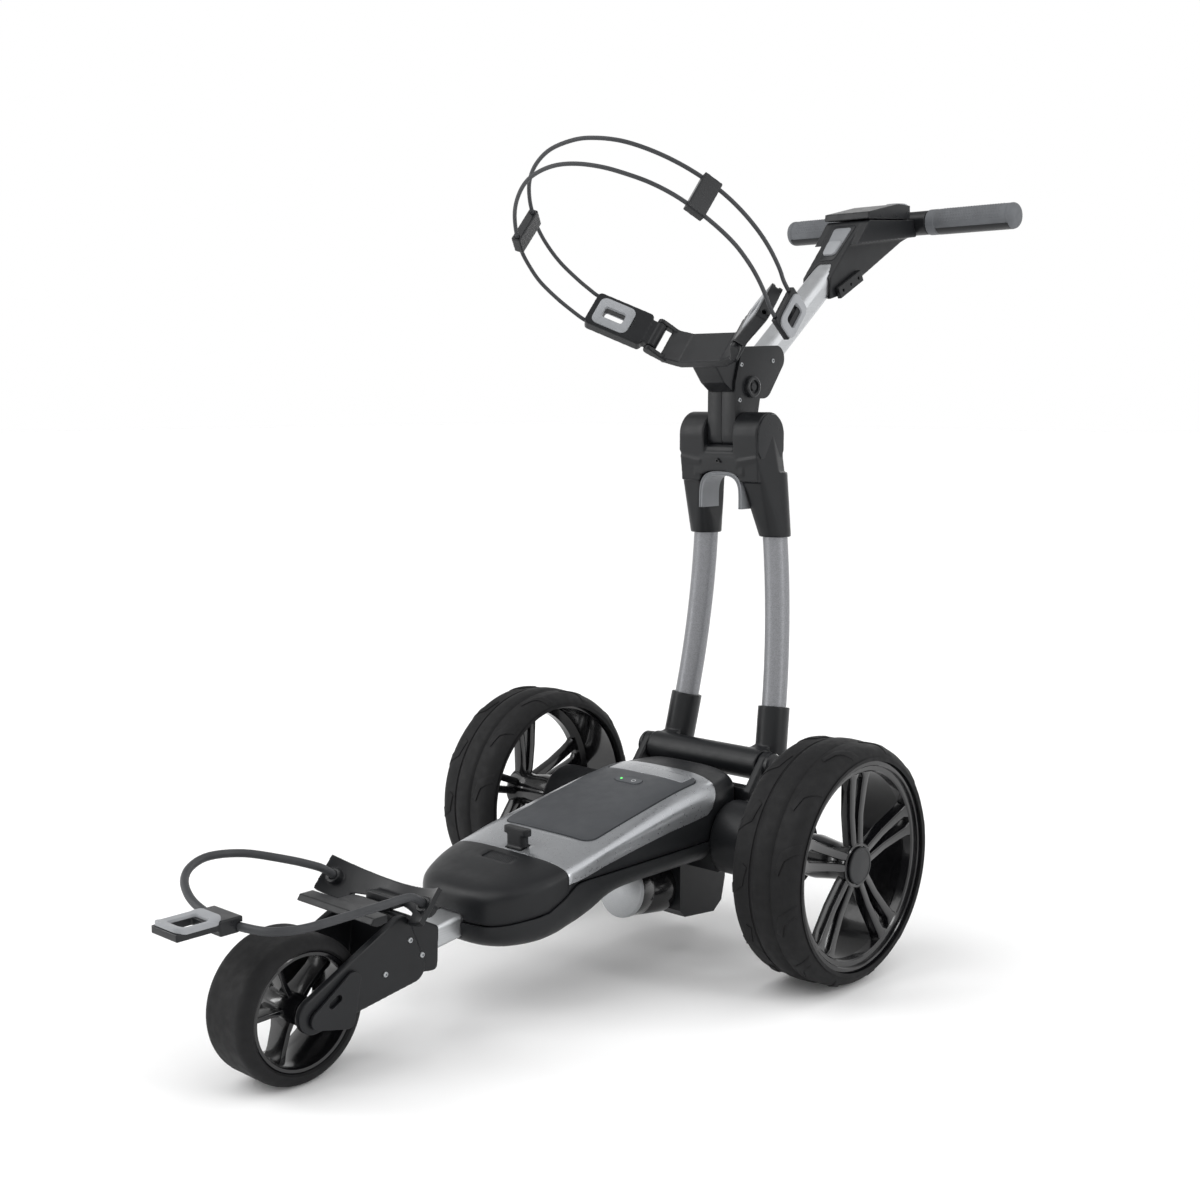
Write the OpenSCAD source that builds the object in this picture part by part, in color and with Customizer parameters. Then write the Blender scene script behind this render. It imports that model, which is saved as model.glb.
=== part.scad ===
// Electric golf trolley: three-wheel folding cart for a golf bag.
// +Z is up, the front wheel points along -Y and the rear axle lies along X.
// The origin is on the ground, in the middle of the length and of the width.

/* [Overall] */
// Distance from the rear axle to the front axle
wheelbase = 610; // [560:1:740]
// Overall width across the outer faces of the rear tyres
overall_width = 586; // [486:1:710]
// Height of the handle grips' centre line above the ground
handle_height = 936; // [880:1:1130]
// Distance of the handle grips behind the rear axle
handle_reach = 502; // [420:1:610]

/* [Rear wheels] */
// Outer radius of a rear tyre
rear_radius = 145; // [140:1:150]
// Width of a rear tyre
rear_tyre_w = 96; // [70:1:104]
// Radius of the rim where the rear tyre seats
rear_seat_r = 126; // [118:1:130]
// Rounding of the rear tyre's shoulders
rear_shoulder_r = 18; // [6:1:19]
// Number of twin-bar spokes in a wheel
spoke_count = 5; // [3:1:8]
// Radius of the rear axle
axle_r = 6; // [5:0.5:7.5]

/* [Front wheel] */
// Outer radius of the front tyre
front_radius = 77; // [70:1:80]
// Width of the front tyre
front_tyre_w = 72; // [50:1:84]
// Radius of the rim where the front tyre seats
front_seat_r = 62; // [50:1:64]
// Rounding of the front tyre's shoulders
front_shoulder_r = 14; // [4:1:14]
// Radius of the front axle
front_axle_r = 5; // [4:0.5:6]

/* [Chassis] */
// Half width of the battery
battery_half_w = 71; // [58:1:73]
// Length of the battery
battery_l = 200; // [166:1:214]
// Width of the silver front tube
front_tube_w = 38; // [32:1:46]
// Height of the silver front tube
front_tube_h = 26; // [22:1:31]
// Radius of the motor
motor_r = 34; // [28:1:36]

/* [Folding frame] */
// Radius of a leg tube
leg_r = 16; // [13.5:0.5:19]
// Wall of the leg sockets and of the yoke's sleeves
socket_wall = 4.5; // [3:0.5:6]
// Radius of the fold hinge pins
hinge_pin_r = 6; // [5:0.5:8]
// Width of the neck between the yoke's cheeks
neck_w = 45; // [36:1:52]
// Width of the silver stem
stem_w = 38; // [31:1:44]
// Height of the silver stem's section
stem_h = 30; // [25:1:36]

/* [Handle] */
// Length from the handle's centre to the end of a grip
handle_half_l = 190; // [160:1:228]
// Radius of a rubber grip
grip_r = 18; // [15:0.5:21]

/* [Straps] */
// Diameter of the two cords of the upper strap
upper_cord_d = 5; // [4:0.5:6]
// Diameter of the lower strap's cord
lower_cord_d = 9; // [7:0.5:11]

/* [Clearances] */
// Radial play of a shaft that turns in a bore
running = 0.05; // [0.02:0.01:0.1]
// Gap between fixed parts that sit beside each other
seat_gap = 0.4; // [0.3:0.1:0.6]
// Gap between parts that move past each other
move_gap = 1; // [0.6:0.1:1.5]

/* [Hidden] */
$fn = 64;
hull_fn = 32;

// Everything is placed from the rear axle's line on the ground. The origin is mid-length.
axle_y = (wheelbase + front_radius - handle_reach - grip_r) / 2;
front_y = -wheelbase;

// Rear wheels
tyre_outer_x = overall_width / 2;
tyre_inner_x = tyre_outer_x - rear_tyre_w;
rim_outer_x = tyre_outer_x - 7;
rim_inner_x = tyre_inner_x + 10;
freewheel_r = 15;
rear_hub_r = 24;
spoke_face_x = rim_outer_x - 4;
axle_half_l = spoke_face_x - 6;
housing_end_x = tyre_inner_x - 3;
bearing_r = 16;
bearing_w = 12;
arm_r = 46;

// Drive: the motor lies below the axle, and a layshaft carries its turns up to the axle
motor_tilt = 8;
motor_front_y = -104;
motor_front_z = 80;
motor_len = 92;
gear_x = 14;
gear_w = 12;
axle_gear_r = 22;
layshaft_z = 106;
pinion_r = rear_radius - layshaft_z - axle_gear_r - 0.5;
worm_wheel_r = 23;
motor_axis_z = motor_front_z + motor_front_y * tan(motor_tilt);
worm_r = (layshaft_z - motor_axis_z) * cos(motor_tilt) - worm_wheel_r - 0.5;
layshaft_r = 5;

// Body of the chassis
body_w = 94;
shell_t = 3;
split_z = 148;
tray_z = 122;
board_z = 126;
nose_y = -385;
trim_front_y = -292;
trim_rear_y = 24;
battery_rear_y = -35;
battery_front_y = battery_rear_y - battery_l;
battery_floor_z = 130;
plug_y = battery_front_y - 45;
plug_z = 171;
crown_r = 270;
crown_slope = 10.5;
crown_y = -135;
crown_z = 203;
tube_slope = 7.6;
tube_root_y = -372;
tube_root_z = 109;
tube_depth = 70;

// Front fork and lower cradle
fork_half_w = front_tyre_w / 2 + 4;
fork_arm_t = 9;
fork_head_y = front_y + front_radius + 22;
fork_back_y = front_y + 172;
bag_tilt = 50;
cradle_y = front_y + 134;
cradle_z = 158;
cradle_half_w = 88;
cradle_hole_x = 74;

// Lower fold hinge, legs and yoke
barrel_y = 70;
barrel_z = 222;
barrel_r = 20;
barrel_half_l = 90;
lug_t = 12;
socket_r = leg_r + socket_wall;
leg_knee = [73, 114, 290];
leg_hip = [57, 133, 511];
leg_foot_l = 46;
leg_top_l = 34;
leg_bow = 6;
leg_wall = 2;
hip_y = 112;
hip_z = 640;
yoke_half_w = 63;
yoke_r = 29;
cheek_in = neck_w / 2 + move_gap;
arch_top_z = 596;
latch_z = 571;
latch_h = 20;

// Upper frame
neck_round_r = 21;
saddle_y = 42.5;
saddle_z = 765;
clip_pivot_x = 70.4;
clip_pin_r = 3;
clip_rise = 37;
clip_l = 92;
clip_w = 50;
console_slope = 27;
stem_wall = 2.5;
stem_start = [178, 739];
stem_stop = [handle_reach - 190, handle_height - 90];
dial_r = 16;
dial_y = -8;

// Straps. The upper loops are flat and square to the bag; points are [across, up the loop].
loop_origin = [0, 13, 813];
loop_gap = 41;
battery_notch = 50;
loop_back = 5;
clip_socket = [for (k = [82, 94]) [-clip_pivot_x - k * cos(clip_rise), k * sin(clip_rise) - 53.4]];
rear_loop = [
    clip_socket[0], clip_socket[1], [-152, 17], [-159, 36], [-166, 66], [-166, 96], [-161, 124],
        [-151, 150],
    [-137, 176], [-116, 203], [-86, 227], [-48, 245], [-4, 253], [28, 251], [60, 242],
    [88, 226], [113, 205], [134, 180], [150, 152], [160, 122], [165, 90], [165, 60],
    [161, 30], [156, 10], [154, -6]
];
front_loop = [
    clip_socket[0], clip_socket[1], [-155, 22], [-164, 46], [-170, 76], [-167, 106], [-160, 132],
    [-145, 162], [-122, 194], [-94, 220], [-64, 239], [-32, 250], [-2, 254], [28, 251],
    [57, 242], [82, 229], [106, 213], [127, 192], [144, 166], [157, 138], [165, 110],
    [167, 80], [165, 53], [160, 26], [156, 10], [154, -6]
];
// The lower loop's points are [x, y from the front axle, z]
lower_loop = [
    cradle_point(-cradle_hole_x, 2), cradle_point(-cradle_hole_x, 30), [-84, 96, 185],
    [-106, 77, 191], [-131, 45, 199], [-137, 6, 203], [-124, -26, 201], [-102, -48, 195],
    [-72, -61, 187], [-42, -65, 181], [-8, -65, 178], [24, -60, 177], [50, -50, 177],
    [65, -24, 177], [67, 24, 177], [68, 74, 178], [72, 97, 180],
    cradle_point(cradle_hole_x, 30), cradle_point(cradle_hole_x, 2)
];

// ---------------------------------------------------------------- helpers

module at_axle() {
    translate([0, axle_y, 0]) children();
}

// Lengthwise cylinder along X, centred on x = 0 unless start is given
module x_rod(r, half_l) {
    rotate([0, 90, 0]) cylinder(r = r, h = 2 * half_l, center = true);
}

// Disc along X from x0 to x1
module x_disc(r, x0, x1) {
    translate([x0, 0, 0]) rotate([0, 90, 0]) cylinder(r = r, h = x1 - x0);
}

// Profile drawn as [y, z] and extruded along X, centred on x = 0
module x_plate(w) {
    rotate([90, 0, 90]) linear_extrude(w, center = true) children();
}

// Turns a profile of [radius, x] points about the X axis
module x_turn() {
    rotate([0, 90, 0]) rotate_extrude() children();
}

module for_side(side) {
    if (side > 0) children();
    else mirror([1, 0, 0]) children();
}

// Solid skin over rings that all have the same number of points
module skin(rings) {
    n = len(rings[0]);
    m = len(rings);
    points = [for (ring = rings) each ring];
    sides = [for (i = [0:m - 2]) for (j = [0:n - 1])
        [i * n + j, i * n + (j + 1) % n, (i + 1) * n + (j + 1) % n, (i + 1) * n + j]];
    first = [for (j = [n - 1:-1:0]) j];
    last = [for (j = [0:n - 1]) (m - 1) * n + j];
    polyhedron(points, concat([first], sides, [last]));
}

// Skin over rings whose last ring joins the first, such as a tube's outside and inside
module loop_skin(rings) {
    n = len(rings[0]);
    m = len(rings);
    polyhedron([for (ring = rings) each ring], [for (i = [0:m - 1]) for (j = [0:n - 1])
        [i * n + j, i * n + (j + 1) % n, ((i + 1) % m) * n + (j + 1) % n, ((i + 1) % m) * n + j]]);
}

function unit(v) = v / norm(v);

function heading(path, i) =
    unit(path[min(i + 1, len(path) - 1)] - path[max(i - 1, 0)]);

// Rings of an oval tube along a path. up is roughly square to the whole path.
function tube_rings(path, across, high, sides, up) = [
    for (i = [0:len(path) - 1])
        let (t = heading(path, i), side = unit(cross(t, up)), top = cross(side, t))
            [for (j = [0:sides - 1]) let (a = 360 * j / sides)
                path[i] + across * cos(a) * side + high * sin(a) * top]
];

// Half-oval body section: rounded top with a crown, straight flanks and a flat bottom
function body_ring(y, w, top, crown, flank, w_low, low) = [
    [-w, y, flank], [-w * 0.97, y, flank + (top - crown - flank) * 0.7],
    [-w * 0.8, y, top - crown], [-w * 0.4, y, top - crown * 0.25], [0, y, top],
    [w * 0.4, y, top - crown * 0.25], [w * 0.8, y, top - crown],
    [w * 0.97, y, flank + (top - crown - flank) * 0.7], [w, y, flank],
    [w_low, y, low], [-w_low, y, low]
];

// Body rings are listed front to rear, so their order is turned round for the skin
module body_skin(rings) {
    skin([for (i = [len(rings) - 1:-1:0]) rings[i]]);
}

// ---------------------------------------------------------------- chassis body

// Point of the lower cord's way through the cradle, square to the cradle's face
function cradle_point(x, t) = [x, cradle_y - front_y - t * sin(bag_tilt), cradle_z + t * cos(bag_tilt)];

function tub_ring(y, w, flank, w_low, low) = [
    [-w, y, 175], [w, y, 175], [w, y, flank], [w_low, y, low], [-w_low, y, low], [-w, y, flank]
];

// Everything above the parting line between the nose cover and the lower shell
module above_parting(gap) {
    x_plate(300) polygon([
        [nose_y - 60, 113 + gap], [nose_y + 11, 113 + gap], [nose_y + 65, 122 + gap],
        [nose_y + 92, 138 + gap], [nose_y + 108, split_z + gap], [90, split_z + gap],
        [90, 300], [nose_y - 60, 300]
    ]);
}

module lower_shell() {
    at_axle() color("#202122") difference() {
        union() {
            difference() {
                body_skin([
                    tub_ring(nose_y + 3, 42, 112, 36, 95), tub_ring(nose_y + 24, 66, 114, 54, 84),
                    tub_ring(nose_y + 56, 84, 118, 66, 82), tub_ring(nose_y + 93, 92, 128, 72, 84),
                    tub_ring(-255, body_w, 138, 74, 92), tub_ring(-215, body_w, 138, 80, 117),
                    tub_ring(-47, body_w, 138, 82, 117)
                ]);
                body_skin([
                    tub_ring(nose_y + 28, 60, 116, 50, 88), tub_ring(nose_y + 60, 79, 121, 62, 86),
                    tub_ring(nose_y + 97, 87, 131, 68, 88), tub_ring(-255, body_w - shell_t, 139, 70, 96),
                    tub_ring(-215, body_w - shell_t, 139, 77, tray_z - 2),
                    tub_ring(-46, body_w - shell_t, 139, 79, tray_z - 2)
                ]);
            }
            for (x = [-40, 40]) translate([x - 3, -276, 89]) cube([6, 12, board_z - 89.4]);
        }
        above_parting(0);
        front_tube_bar(seat_gap);
    }
}

module nose_cover() {
    at_axle() color("#26272a") difference() {
        intersection() {
            body_skin([
                body_ring(nose_y, 30, 140, 6, 128, 30, 95), body_ring(nose_y + 12, 56, 150, 8, 134, 56, 95),
                body_ring(nose_y + 36, 76, 156, 10, 138, 76, 95),
                body_ring(nose_y + 60, 87, 162, 11, 144, 87, 95),
                body_ring(trim_front_y - seat_gap, 93, 170, 12, 152, 93, 95)
            ]);
            above_parting(seat_gap);
        }
        body_skin([
            body_ring(nose_y + 22, 48, 143, 7, 132, 48, 90), body_ring(nose_y + 40, 68, 150, 9, 136,
                68, 90),
            body_ring(nose_y + 64, 82, 156, 10, 140, 82, 90), body_ring(trim_front_y + 4, 88, 164, 11,
                147, 88, 90)
        ]);
        front_tube_bar(seat_gap);
    }
}

// Crowned slab that gives the trim and the battery the same top surface
module crown_under(drop) {
    translate([0, crown_y, crown_z - drop]) rotate([crown_slope, 0, 0])
        translate([0, 0, -crown_r]) rotate([90, 0, 0])
            cylinder(r = crown_r, h = 800, center = true, $fn = 180);
}

module battery_outline(gap) {
    offset(r = gap) hull() for (x = [-1, 1]) for (y = [battery_front_y + 14, battery_rear_y - 14])
        translate([x * (battery_half_w - 14), y]) circle(14, $fn = hull_fn);
}

module trim_surround() {
    at_axle() color("#9a9da1") difference() {
        intersection() {
            body_skin([
                body_ring(trim_front_y, 93, 170, 10, 152, 93, 120),
                body_ring(-236, body_w, 182, 10, 166, body_w, 120),
                body_ring(-120, body_w, 208, 11, 178, body_w, 120),
                body_ring(-40, body_w, 222, 11, 182, body_w, 120),
                body_ring(trim_rear_y, 80, 223, 10, 190, 78, 180)
            ]);
            above_parting(seat_gap);
        }
        body_skin([
            body_ring(trim_front_y - 1, 88, 166, 10, 148, 88, 110),
            body_ring(-236, body_w - 4, 178, 10, 162, body_w - 4, 110),
            body_ring(-120, body_w - 4, 204, 11, 174, body_w - 4, 110),
            body_ring(-40, body_w - 4, 218, 11, 178, body_w - 4, 110),
            body_ring(trim_rear_y - 4, 77, 219, 10, 180, 77, 110)
        ]);
        translate([0, 0, split_z - 20]) linear_extrude(120) battery_outline(move_gap);
        plug_well(move_gap);
        translate([0, 0, rear_radius]) x_rod(axle_r + 6, body_w + 4);
    }
}

module plug_well(gap) {
    translate([0, plug_y, plug_z - 40]) linear_extrude(80)
        offset(r = gap) square([26, 16], center = true);
}

module rear_housing() {
    bore_l = housing_end_x - bearing_w;
    at_axle() color("#1c1d1f") difference() {
        union() {
            for (s = [-1, 1]) for_side(s) translate([0, 0, rear_radius])
                x_disc(arm_r, body_w + 1, housing_end_x);
            x_plate(2 * (body_w + 2)) polygon([
                [-28, 104], [40, 104], [52, 116], [52, 194], [46, 200], [28, 200], [28, 146], [-28, 146]
            ]);
            for (s = [-1, 1]) translate([s * (barrel_half_l + seat_gap + lug_t / 2), 0, 0]) x_plate(lug_t)
                hull() {
                    translate([barrel_y, barrel_z]) circle(18);
                    polygon([[26, 172], [58, 172], [58, 190], [26, 196]]);
                }
        }
        // way through for the axle, seats for its bearings and the bay for the gearbox
        translate([0, 0, rear_radius]) x_rod(axle_r + 6, bore_l);
        for (s = [-1, 1]) for_side(s) translate([0, 0, rear_radius])
            x_disc(bearing_r, bore_l - 0.4, housing_end_x + 1);
        x_plate(2 * 41) polygon([[-60, 80], [60, 80], [60, 177], [-60, 177]]);
        translate([0, barrel_y, barrel_z]) x_rod(hinge_pin_r + running, barrel_half_l + 60);
    }
}

module gearbox_case() {
    at_axle() color("#232427") difference() {
        x_plate(80) polygon([
            [-27.5, 176], [-27.5, 112], [-34, 106], [-34, 44], [-24, 34], [34, 28], [50, 40],
            [57, 70], [57, 176]
        ]);
        x_plate(66) polygon([
            [-24.5, 172], [-24.5, 111], [-31, 104.5], [-31, 47], [-21, 38], [32, 32], [46, 43],
            [54, 72], [54, 172]
        ]);
        translate([0, 0, rear_radius]) x_rod(axle_r + 1, 60);
        translate([0, 0, layshaft_z]) x_rod(layshaft_r + running, 36);
        motor_place() y_rod(motor_r - 8, 0, 90);
    }
}

// Motor axis: starts at the centre of the front disc and runs rearwards along +Y
module motor_place() {
    translate([0, motor_front_y, motor_front_z]) rotate([-motor_tilt, 0, 0]) children();
}

module y_rod(r, y0, y1) {
    translate([0, y0, 0]) rotate([-90, 0, 0]) cylinder(r = r, h = y1 - y0);
}

module motor_case() {
    at_axle() color("#141416") difference() {
        motor_place() difference() {
            y_rod(motor_r, 7, motor_len);
            y_rod(motor_r - 3, 6, motor_len - 6);
            y_rod(6, 10, motor_len + 1);
        }
        x_plate(81) polygon([[-34 - seat_gap, 20], [60, 20], [60, 190], [-34 - seat_gap, 190]]);
    }
}

module motor_end_cap() {
    at_axle() color("#c9cbcd") motor_place() difference() {
        y_rod(motor_r + 1, 0, 7);
        y_rod(6, 3, 8);
    }
}

module motor_rotor() {
    at_axle() color("#b87333") motor_place() union() {
        y_rod(3, 3.5, 120);
        y_rod(motor_r - 8, 14, 62);
        y_rod(worm_r, 94, 116);
    }
}

module layshaft() {
    at_axle() color("#b8a04a") translate([0, 0, layshaft_z]) union() {
        x_rod(layshaft_r, 35);
        x_disc(worm_wheel_r, -5, 5);
        x_disc(pinion_r, gear_x - gear_w / 2, gear_x + gear_w / 2);
    }
}

module drive_gear() {
    at_axle() color("#b8a04a") translate([0, 0, rear_radius]) difference() {
        x_disc(axle_gear_r, gear_x - gear_w / 2, gear_x + gear_w / 2);
        x_rod(axle_r + running, 50);
    }
}

module axle_shaft() {
    at_axle() color("#8d9094") translate([0, 0, rear_radius]) x_rod(axle_r, axle_half_l);
}

module axle_bearings() {
    at_axle() color("#9ea1a4") for (s = [-1, 1])
        translate([s * (housing_end_x - bearing_w / 2), 0, rear_radius]) difference() {
            x_rod(bearing_r - running, bearing_w / 2 - 0.2);
            x_rod(axle_r + running, bearing_w);
        }
}

// Straight rectangular bar of the front tube, grown by a gap on every side
module front_tube_bar(gap) {
    tube_l = tube_root_y - (fork_back_y - 60) + tube_depth;
    translate([0, tube_root_y, tube_root_z]) rotate([tube_slope, 0, 0])
        translate([0, tube_depth - tube_l, 0]) rotate([-90, 0, 0]) linear_extrude(tube_l)
            offset(r = 5 + gap, $fn = hull_fn)
                square([front_tube_w - 10, front_tube_h - 10], center = true);
}

module front_tube() {
    at_axle() color("#a9acb0") difference() {
        front_tube_bar(0);
        front_tube_bar(-2.5 - 0.001);
    }
}

module battery_tray() {
    at_axle() color("#2b2c2f") difference() {
        translate([0, 0, tray_z]) linear_extrude(40) difference() {
            battery_outline(move_gap + 2.5);
            translate([0, battery_rear_y - 160]) square([50, 60], center = true);
        }
        translate([0, 0, tray_z + 3]) linear_extrude(60) battery_outline(move_gap);
    }
}

module control_board() {
    at_axle() color("#1f6b3a") translate([0, -270, board_z]) union() {
        translate([-50, -18, 0]) cube([100, 36, 2]);
        translate([-40, -12, 2]) cube([24, 24, 9]);
        translate([12, -12, 2]) cube([30, 20, 9]);
    }
}

// ---------------------------------------------------------------- battery

module battery_block(gap) {
    intersection() {
        translate([0, 0, battery_floor_z + gap]) linear_extrude(120) battery_outline(-gap);
        crown_under(gap);
    }
}

module battery_case() {
    at_axle() color("#3d3f42") difference() {
        battery_block(0);
        translate([0, 0, battery_floor_z + 3]) linear_extrude(34) battery_outline(-4);
        button_hole(0.4);
        handle_cut();
    }
}

module battery_cells() {
    at_axle() color("#3a6ea5") translate([0, 0, battery_floor_z + 3.5]) {
        cells = 4;
        pitch = (battery_l - 16) / cells;
        for (i = [0:cells - 1])
            translate([-battery_half_w + 12, battery_front_y + 8 + i * pitch + 1, 0])
                cube([2 * battery_half_w - 24, pitch - 2, 32]);
    }
}

module button_hole(gap) {
    translate([0, battery_rear_y - 52, battery_floor_z + 60]) linear_extrude(60)
        hull() for (x = [-1, 1]) translate([x * 13, 0]) circle(7 + gap);
}

module battery_button() {
    at_axle() color("#55585c") intersection() {
        button_hole(0);
        difference() {
            crown_under(-0.6);
            crown_under(5);
        }
    }
}

module handle_cut() {
    translate([-62, battery_rear_y - 24, battery_floor_z + battery_notch]) cube([124, 40, 60]);
}

module battery_handle() {
    at_axle() color("#8f9296") intersection() {
        union() {
            translate([-61, battery_rear_y - 22.6, 196]) cube([122, 20, 60]);
            for (x = [-1, 1])
                translate([x * 50 - 6, battery_rear_y - 18, battery_floor_z + battery_notch + seat_gap])
                cube([12, 10, 30]);
        }
        difference() {
            crown_under(0);
            translate([-44, -200, 0]) cube([88, 300, 201]);
        }
    }
}

module battery_plug() {
    at_axle() color("#17181a") translate([0, plug_y, 0]) union() {
        translate([-12, -7, plug_z - 22]) cube([24, 14, 24]);
        translate([0, 0, plug_z + 2]) linear_extrude(14) hull() for (x = [-1, 1])
            translate([x * 9, 0]) circle(6, $fn = hull_fn);
        translate([0, 0, plug_z + 16]) linear_extrude(8) hull() for (x = [-1, 1])
            translate([x * 14, 0]) circle(6, $fn = hull_fn);
    }
}

// ---------------------------------------------------------------- rear wheels

module rear_tyre(side) {
    at_axle() color("#1b1b1c") translate([0, 0, rear_radius]) for_side(side) x_turn()
        difference() {
            translate([rear_seat_r, tyre_inner_x]) hull() {
                square([1, rear_tyre_w]);
                for (x = [rear_shoulder_r, rear_tyre_w - rear_shoulder_r])
                    translate([rear_radius - rear_seat_r - rear_shoulder_r, x])
                        circle(rear_shoulder_r, $fn = hull_fn);
            }
            translate([0, tyre_inner_x - 1]) square([rear_seat_r + 0.05, rear_tyre_w + 2]);
            for (x = [0.34, 0.66]) translate([rear_radius - 2.5, tyre_inner_x + rear_tyre_w * x - 1.5])
                square([5, 3]);
        }
}

module rear_tyre_left() { rear_tyre(-1); }
module rear_tyre_right() { rear_tyre(1); }

module rear_rim(side) {
    rim_t = 5;
    at_axle() color("#0d0d0e") translate([0, 0, rear_radius]) for_side(side) difference() {
        union() {
            x_turn() translate([rear_seat_r - rim_t, rim_inner_x])
                square([rim_t, rim_outer_x - rim_inner_x]);
            x_disc(rear_hub_r, rim_inner_x, spoke_face_x);
            for (i = [0:spoke_count - 1]) rotate([360 / spoke_count * i, 0, 0]) for (s = [-1, 1])
                translate([spoke_face_x - 20, 0, 0]) rotate([90, 0, 90]) linear_extrude(18)
                    polygon([
                        [s * 3, 18], [s * 13, 18], [s * 15, rear_seat_r - 3], [s * 6, rear_seat_r - 3]
                    ]);
        }
        x_disc(freewheel_r + 0.05, rim_inner_x - 1, spoke_face_x - 4);
    }
}

module rear_rim_left() { rear_rim(-1); }
module rear_rim_right() { rear_rim(1); }

module hub_cap(side) {
    at_axle() color("#18191b") translate([0, 0, rear_radius]) for_side(side)
        x_disc(rear_hub_r - 2, spoke_face_x + seat_gap, spoke_face_x + 3.4);
}

module hub_cap_left() { hub_cap(-1); }
module hub_cap_right() { hub_cap(1); }

module freewheel(side) {
    at_axle() color("#85888c") translate([0, 0, rear_radius]) for_side(side) difference() {
        x_disc(freewheel_r, rim_inner_x + 2, spoke_face_x - 5);
        x_disc(axle_r + running, rim_inner_x, spoke_face_x);
    }
}

module freewheel_left() { freewheel(-1); }
module freewheel_right() { freewheel(1); }

// ---------------------------------------------------------------- front wheel and fork

module at_front_axle() {
    translate([0, axle_y + front_y, front_radius]) children();
}

module front_tyre() {
    at_front_axle() color("#1d1d1e") x_turn() difference() {
        translate([front_seat_r, -front_tyre_w / 2]) hull() {
            square([1, front_tyre_w]);
            for (x = [front_shoulder_r, front_tyre_w - front_shoulder_r])
                translate([front_radius - front_seat_r - front_shoulder_r, x])
                    circle(front_shoulder_r, $fn = hull_fn);
        }
        translate([0, -front_tyre_w]) square([front_seat_r + 0.05, 2 * front_tyre_w]);
    }
}

front_hub_r = 14;
front_bearing_r = 11;
front_rim_w = front_tyre_w - 8;

module front_rim() {
    rim_t = 4;
    at_front_axle() color("#101011") difference() {
        union() {
            x_turn() translate([front_seat_r - rim_t, -front_rim_w / 2]) square([rim_t, front_rim_w]);
            x_rod(front_hub_r, front_rim_w / 2);
            for (i = [0:spoke_count - 1]) rotate([360 / spoke_count * i + 20, 0, 0])
                x_plate(front_rim_w - 22) translate([-3, front_hub_r - 3])
                    square([6, front_seat_r - front_hub_r]);
        }
        x_rod(front_bearing_r + 0.05, front_tyre_w);
    }
}

module front_bearings() {
    at_front_axle() color("#9ea1a4") for (s = [-1, 1])
        translate([s * (front_rim_w / 2 - 5), 0, 0]) difference() {
            x_rod(front_bearing_r, 4.5);
            x_rod(front_axle_r + running, 6);
        }
}

module front_axle() {
    at_front_axle() color("#8d9094") x_rod(front_axle_r, fork_half_w + fork_arm_t - 1);
}

module fork() {
    at_axle() color("#1e1f21") difference() {
        union() {
            for (s = [-1, 1]) translate([s * (fork_half_w + fork_arm_t / 2), 0, 0]) x_plate(fork_arm_t)
                hull() {
                    translate([front_y, front_radius]) circle(19);
                    translate([fork_head_y + 14, 138]) circle(14);
                    translate([fork_head_y + 30, 92]) circle(16);
                }
            // head block round the front tube
            x_plate(2 * fork_half_w + 1) hull() {
                translate([fork_head_y + 26, 144]) circle(6);
                translate([fork_head_y + 24, 92]) circle(8);
                translate([fork_back_y - 6, 122]) circle(6);
                translate([fork_back_y - 8, 84]) circle(6);
            }
        }
        front_tube_bar(seat_gap);
        translate([0, front_y, front_radius]) x_rod(front_axle_r + running, 200);
    }
}

module axle_lever() {
    at_axle() color("#26282a") translate([fork_half_w + fork_arm_t + 3, 0, 0]) difference() {
        x_plate(4) hull() {
            translate([front_y + 2, front_radius - 4]) circle(10);
            translate([front_y + 46, front_radius + 26]) circle(9);
            translate([front_y + 38, front_radius - 14]) circle(9);
        }
        x_plate(6) hull() {
            translate([front_y + 18, front_radius + 8]) circle(4);
            translate([front_y + 26, front_radius + 12]) circle(4);
        }
    }
}

// Frame of a bag rest: local Z points at the bag, local Y runs up along it
module bag_frame(y, z) {
    translate([0, y, z]) rotate([bag_tilt, 0, 0]) children();
}

module lower_cradle() {
    arc_r = 150;
    at_axle() color("#222326") {
        difference() {
            bag_frame(cradle_y, cradle_z) {
                rotate([-90, 0, 0]) linear_extrude(42, center = true) difference() {
                    intersection() {
                        translate([0, 6 - arc_r]) circle(arc_r + 6, $fn = 120);
                        translate([0, -30]) square([2 * cradle_half_w, 90], center = true);
                    }
                    translate([0, 6 - arc_r]) circle(arc_r, $fn = 120);
                }
                for (s = [-1, 1]) translate([s * cradle_hole_x, 0, 3]) cylinder(r = 9, h = 16);
            }
            for (s = [-1, 1]) bag_frame(cradle_y, cradle_z) translate([s * cradle_hole_x, 0, -30])
                cylinder(r = lower_cord_d / 2 + 0.3, h = 90);
            translate([0, cradle_y, 102.4])
                cube([2 * (fork_half_w + fork_arm_t) + 4, 160, 100], center = true);
        }
        // foot of the cradle on the fork head
        x_plate(44) polygon([
            [cradle_y - 12, 150.4], [cradle_y + 16, 150.4], [cradle_y + 12, 160], [cradle_y - 10, 164]
        ]);
    }
}

module rest_foot() {
    at_axle() color("#222326") x_plate(124) polygon([
        [front_y + 62, 158], [front_y + 66, 164], [front_y + 84, 164], [front_y + 84, 156],
        [front_y + 70, 154]
    ]);
    at_axle() color("#222326") x_plate(44) polygon([
        [front_y + 80, 163], [cradle_y - 28, 163], [cradle_y - 14, 157], [cradle_y - 14, 150.8],
        [front_y + 78, 154]
    ]);
}

// ---------------------------------------------------------------- lower folding frame

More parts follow.
